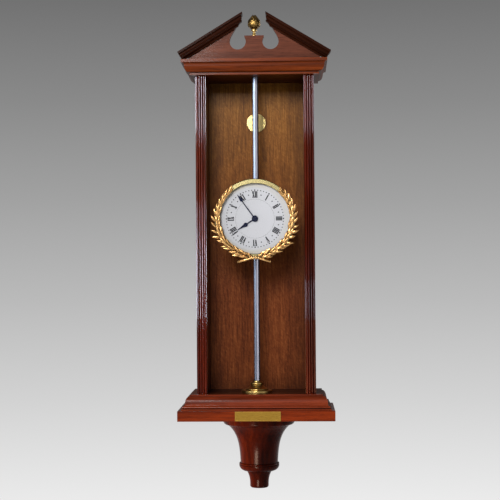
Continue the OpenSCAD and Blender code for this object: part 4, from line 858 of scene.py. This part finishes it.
# %% Background and soft light all round
DARKEST, PALER_BY, GREY_STEPS = 113, 122, 5
RAMP_TOP, RAMP_FOOT = 0.2151, -0.1755
AMBIENT, LEFT_STRENGTH, RIGHT_STRENGTH = (0.92, 0.95, 1.0, 1), 0.48, 0.06

def linear(level):
    level /= 255
    return level / 12.92 if level <= 0.04045 else ((level + 0.055) / 1.055) ** 2.4

world = bpy.data.worlds.new("studio")
bpy.context.scene.world = world
world.use_nodes = True
sky = Network(world.node_tree)
sky.tree.nodes.clear()
way = sky.add("SeparateXYZ", Vector=sky.add("TexCoord").outputs["Generated"])
height = sky.fade(way.outputs["Z"], RAMP_TOP, RAMP_FOOT)
greys = [(i / GREY_STEPS, [linear(DARKEST + PALER_BY * i / GREY_STEPS)] * 3) for i in range(GREY_STEPS + 1)]
seen = sky.add("Background", Color=sky.ramp(height, *greys))
strength = sky.fade(way.outputs["X"], -0.7, 0.6, to=(LEFT_STRENGTH, RIGHT_STRENGTH))
ambient = sky.add("Background", Color=AMBIENT, Strength=strength)
ray = sky.add("LightPath")
background_share = ray.outputs["Is Camera Ray"]
for kind in ("Is Glossy Ray", "Is Transmission Ray"):
    background_share = sky.math("MAXIMUM", background_share, ray.outputs[kind])
either = sky.add("MixShader", Fac=background_share)
sky.feed(either, 1, ambient.outputs[0])
sky.feed(either, 2, seen.outputs[0])
sky.add("OutputWorld", Surface=either.outputs[0])
print("background set in", len(greys), "greys")

# %% [markdown]
# ## Softboxes
# Large soft lamps give the even light of a studio. The main one hangs above the camera, to the left.
# A second stands further round on the left, a weak one fills from the right, and one behind, on the
# right, edges the sides of the case. The backboard and the pendant were lit at their own angle in
# the photograph, so each has a softbox that shines on it alone. The main one leaves them both out,
# and the fill leaves out the pendant. Light linking does this with one small collection per lamp.

# %% Softboxes
def softbox(name, place, target, width, height, power, colour=(1, 1, 1)):
    light = bpy.data.lights.new(name, "AREA")
    light.shape, light.size, light.size_y = "RECTANGLE", width, height
    light.energy, light.color = power, colour
    lamp = bpy.data.objects.new(name, light)
    lamp.location = place
    lamp.rotation_euler = (Vector(target) - Vector(place)).to_track_quat("-Z", "Y").to_euler()
    bpy.context.scene.collection.objects.link(lamp)

def receivers(name, parts, state="INCLUDE"):
    group = bpy.data.collections.new(name)
    for part in parts:
        group.objects.link(nodes[part])
    for member in group.collection_objects:
        member.light_linking.link_state = state
    bpy.data.objects[name].light_linking.receiver_collection = group

softbox("key_softbox", (-0.74, -3.2, 0.82), (0, 0, -0.15), 0.95, 0.96, 80, (1.0, 0.99, 0.98))
softbox("side_softbox", (-2.2, -1.9, 0.5), (0, 0, -0.3), 0.9, 1.6, 14, (1.0, 0.98, 0.96))
softbox("fill_softbox", (2.4, -2.0, -0.2), (0, 0, -0.3), 1.2, 1.6, 3, (0.95, 0.97, 1.0))
softbox("rear_softbox", (2.3, 1.2, 0.3), (0, 0, -0.3), 1.0, 1.4, 22, (0.98, 0.98, 1.0))
softbox("pendant_softbox", (-2.5, -1.1, -0.8), (0, 0, -0.6), 0.7, 0.7, 120, (1.0, 0.93, 0.86))
softbox("board_softbox", (-0.34, -3.2, 1.0), (0, 0, -0.15), 0.95, 0.96, 72, (1.0, 0.99, 0.98))
bpy.data.objects["pendant_softbox"].visible_glossy = False
receivers("pendant_softbox", ["pendant"])
receivers("board_softbox", ["backboard"])
receivers("key_softbox", ["pendant", "backboard"], "EXCLUDE")
receivers("fill_softbox", ["pendant"], "EXCLUDE")

# %% [markdown]
# ## Mirrored windows
# Polish shows its room. The reeds mirror two wide windows behind the camera as pale stripes with a
# sharp lower edge, the rod mirrors sky on its left and a wall on its right, and the pendant has one
# soft spot. A modelled room would light everything else as well, so each window is a lamp that
# shines on one part alone, and only as a reflection.

# %% Windows mirrored in the polish
WINDOW, BRICK, SKY = (0.80, 0.84, 1.0), (1.0, 0.5, 0.3), (0.68, 0.86, 1.0)
TOP, SILL, LOW_TOP, LOW_BAR, LOW_SILL, LOW_SILL_RIGHT = 1.3, 0.346, 0.04, -0.10, -0.481, -0.31
LEFT_REEDS, RIGHT_REEDS = (-1.9, -0.3), (-0.9, 0.6)
ROD_LEFT, ROD_RIGHT, ROD_DISTANCE = (-4.5, -0.4), (0.6, 6.0), 2.2

def mirrored_window(name, node, low, high, glow, sides, colour=WINDOW, distance=3.4):
    left, right = sides
    width, height = right - left, high - low
    middle, level = (left + right) / 2, (low + high) / 2
    softbox(name, (middle, -distance, level), (middle, 0, level), width, height,
            glow * width * height * math.pi, colour)
    bpy.data.objects[name].visible_diffuse = False
    receivers(name, [node])

mirrored_window("window_above_left", "pilaster_left", SILL, TOP, 100.0, LEFT_REEDS)
mirrored_window("wall_left", "pilaster_left", LOW_TOP, SILL, 8.0, LEFT_REEDS, BRICK)
mirrored_window("window_left", "pilaster_left", LOW_SILL, LOW_BAR, 115.0, LEFT_REEDS)
mirrored_window("window_left_top", "pilaster_left", LOW_BAR, LOW_TOP, 55.0, LEFT_REEDS)
mirrored_window("window_above_right", "pilaster_right", SILL, TOP, 32.0, RIGHT_REEDS)
mirrored_window("window_right", "pilaster_right", LOW_SILL, LOW_SILL_RIGHT, 28.0, RIGHT_REEDS)
mirrored_window("wall_low_right", "pilaster_right", -0.95, LOW_SILL, 12.0, RIGHT_REEDS, (1.0, 0.42, 0.18))
mirrored_window("sky_on_rod", "rack_rod", 0.0, 1.4, 19.0, ROD_LEFT, SKY, ROD_DISTANCE)
mirrored_window("wall_on_rod", "rack_rod", 0.0, 1.4, 6.0, ROD_RIGHT, (1.0, 0.90, 0.82), ROD_DISTANCE)
mirrored_window("wall_right", "rack_rod", -0.90, -0.25, 10.0, ROD_RIGHT, (1.0, 0.94, 0.92), ROD_DISTANCE)
mirrored_window("window_low", "pendant", -1.24, -0.87, 42.0, (-0.62, -0.20), (1.0, 0.82, 0.62), 1.5)
print("lamps in all:", len(bpy.data.lights))
